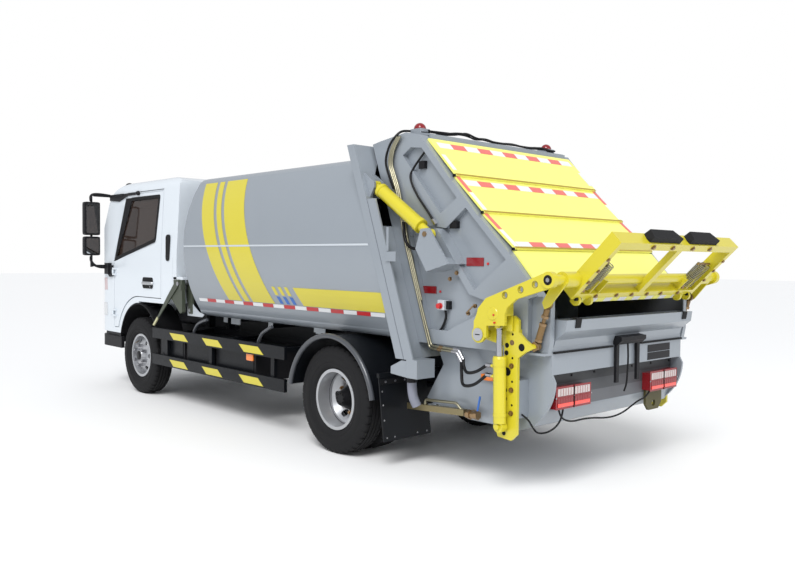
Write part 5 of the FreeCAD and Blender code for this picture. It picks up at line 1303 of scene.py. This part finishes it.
def make_cab_side():
    """Vent, wheel arch lining, side lamp and trims of the cab."""
    vent = Shape().prism(rounded(outline_on(VENT), 0.043), 0.8903, 0.9018)
    vent.make("cab_vent", "seal_black", "cab", both=True)
    rim = side_ring(rounded(grown(VENT, 4), 46), rounded(VENT, 43), 0.2, 3)
    rim.make("cab_vent_rim", "seam_pale", "cab", both=True, smooth=True)
    slats = [((2618, cab_y(z) - 1, z), (2694, cab_y(z) + 2.8, z + 6)) for z in range(1392, 1608, 24)]
    boxes("cab_vent_slats", "inner_plastic", "cab", slats, at, both=True)
    turns = [math.radians(14 + 151 * i / 40) for i in range(41)]
    outside, inside = [[(ARCH_AT[0] + radius * math.cos(a), ARCH_AT[1] + radius * math.sin(a)) for a in turns]
                       for radius in (443.5, 436)]
    slabs("arch_liner", "seal_black", "cab", [outside + inside[::-1]], 0.620, 0.896, outline_on, both=True)
    lip = Shape().sweep([at(x, 897, z) for x, z in inside], 0.009)
    lip.make("arch_lip", "seal_black", "cab", both=True, smooth=True)
    slabs("cab_side_lamp", "lamp_pink", "cab", [[(4056, 1040), (4124, 1036), (4129, 1168), (4066, 1172)]],
          0.8970, 0.9040, outline_on, both=True, edge=0.002)
    boxes("cab_rear_seam", "seam_pale", "cab", [((2556, 899.5, 1100), (2560, 900.6, 1396))], at, both=True)
    slabs("sill_trim", "inner_plastic", "cab", [oblong(3725, 552, 4090, 589)], 0.892, 0.899, outline_on,
          both=True, edge=0.002)


def front_plate(shape, left, low, right, high, radius, rear_end, front_end):
    """A rounded plate that faces ahead, its outline in millimetres across and up."""
    outline = rounded(oblong(*(size / 1000 for size in (left, low, right, high))), radius)
    return shape.prism(outline, on(rear_end), on(front_end), axis="x")


def make_mirror_parts():
    faces = Shape()
    for low, high in ((1646, 1961), (1429, 1592)):
        front_plate(faces, 1019, low, 1151, high, 0.022, 4003.0, 4004.6)
    faces.make("mirror_faces", "mirror_face", "cab", both=True)
    shells = Shape()
    for low, high in ((1626, 1981), (1409, 1612)):
        front_plate(shells, 999, low, 1171, high, 0.03, 4012, 4070)
        front_plate(shells, 1014, low + 15, 1156, high - 15, 0.026, 4070, 4084)
    shells.make("mirror_shells", "inner_plastic", "cab", both=True, edge=0.004)
    arms = [((4040, 1090, 1990), (4040, 1092, 2036), (4040, 1066, 2062), (4040, 1000, 2068),
             (4036, 900, 2060), (4026, 866, 2050)),
            ((4040, 1090, 1400), (4040, 1088, 1352), (4040, 1050, 1306), (4038, 990, 1284),
             (4030, 905, 1280))]
    hoses("mirror_arm_sleeves", "inner_plastic", "cab", arms, 0.0135, 12, place=at, both=True)
    bracket = Shape().prism(outline_on([(4040, 2004), (4040, 2040), (3640, 2062), (3340, 2062), (3340, 2040),
                                        (3600, 2036), (3800, 1986), (3840, 1986)]), 0.868, 0.882)
    bracket.ball(at(3345, 880, 2051), 0.024)
    bracket.make("mirror_bracket", "inner_plastic", "cab", both=True, edge=0.002)
    slabs("mirror_foot", "inner_plastic", "cab",
          [[(4026, 1300), (3900, 1306), (3900, 1190), (3960, 1180), (4026, 1226)]], 0.9005, 0.925, outline_on,
          both=True, edge=0.004)
    small = Shape().ball(at(4042, 654, 2166), 0.052, (0.6, 1, 0.9))
    route = [at(4042, 656, 2140), at(4030, 670, 2100), at(4000, 690, 2060), at(3985, 700, 2040)]
    small.sweep(curved(route, 5), 0.011)
    small.make("front_mirror", "inner_plastic", "cab", smooth=True)


def make_cab_lock():
    """The lock between the cab and the frame, with the lever on the left."""
    slabs("cab_lock_cover", "olive_dark", "chassis",
          [[(2336, 866), (2404, 866), (2452, 1040), (2452, 1184), (2350, 1184), (2336, 1040)]],
          0.7905, 0.815, outline_on, both=True, edge=0.003)
    plate = Shape().prism(outline_on([(2363, 884), (2400, 868), (2560, 990), (2606, 1010), (2530, 1120),
                                      (2537, 1186), (2369, 1186)]), 0.866, 0.904)
    plate.prism(outline_on(oblong(2372, 1090, 2412, 1140)), 0.904, 0.912)
    plate.make("cab_lock_plate", "olive_dark", "chassis", edge=0.003)
    boxes("cab_lock_bracket", "cab_white", "chassis", [((2360, 850, 1186), (2545, 900, 1214))], at,
          edge=0.003)
    bars("cab_lock_shaft", "steel", "chassis", [((2432, 815, 1150), (2432, 918, 1150), 0.020, 16),
                                                ((2370, 815, 900), (2370, 824, 900), 0.016, 6)], at)
    slabs("cab_lock_lever", "olive_dark", "chassis",
          [[(2412, 1176), (2456, 1190), (2640, 1022), (2850, 808), (2838, 790), (2590, 990), (2420, 1130)]],
          0.905, 0.917, outline_on, edge=0.002)
    bars("cab_lock_grip", "grip_cream", "chassis", [((2838, 911, 806), (2922, 911, 730), 0.013, 14)], at,
         smooth=True)
    boxes("cab_lock_top", "seam_pale", "chassis", [((2350, 730, 1184), (2450, 800, 1196))], at,
          both=True, edge=0.001)


def make_cab_front():
    panel = front_plate(Shape(), -500, 945, 500, 1215, 0.03, CAB_FRONT + 0.1, CAB_FRONT + 2.5)
    panel.make("grille_panel", "seal_black", "cab")
    plate = front_plate(Shape(), -220, 435, 220, 545, 0.008, CAB_FRONT + 0.5, CAB_FRONT + 3)
    plate.make("blank_plate", "tape_white", "chassis", edge=0.0005)
    rings = Shape()
    bulbs = Shape()
    height = 806
    for y in (618, 716):
        x = front_x(y) + 5
        rings.bar(at(x, y, height), at(x + 4, y, height), 0.036, 32)
        bulbs.ball(at(x + 3, y, height), 0.029, (0.35, 1, 1))
    rings.make("headlamp_rings", "steel", "cab", both=True)
    bulbs.make("headlamp_bulbs", "lamp_white", "cab", both=True, smooth=True)
    bars("fog_lamps", "lens_clear", "chassis",
         [((CAB_FRONT - 1, 520, 490), (CAB_FRONT + 4, 520, 490), 0.040, 28)], at, both=True)
    boxes("cab_step", "dark_plate", "cab", [((3760, 880, 556), (4040, 899, 564))], at, both=True, edge=0.001)


place_camera()
for node, (length, route) in LEADS.items():
    free_lead(node, route)
place_stage()
for make_pieces in (make_tyres, make_wheel_nuts, make_hubs, make_body_artwork, make_body_tape,
                    make_body_fittings, make_guard_marks, make_fender_parts, make_box_fittings,
                    make_cover_tape, make_rear_lamps, make_rear_details, make_tail_side, make_side_pipes,
                    make_tail_bottom, make_recess_hoses, make_roof_parts, make_lifter_plate,
                    make_lifter_arms, make_link_parts, make_cylinder_parts, make_frame_bolts,
                    make_comb_marks, make_frame_springs, make_frame_parts, make_windows, make_door_parts,
                    make_cab_side, make_mirror_parts, make_cab_lock, make_cab_front):
    make_pieces()

bpy.context.view_layer.update()
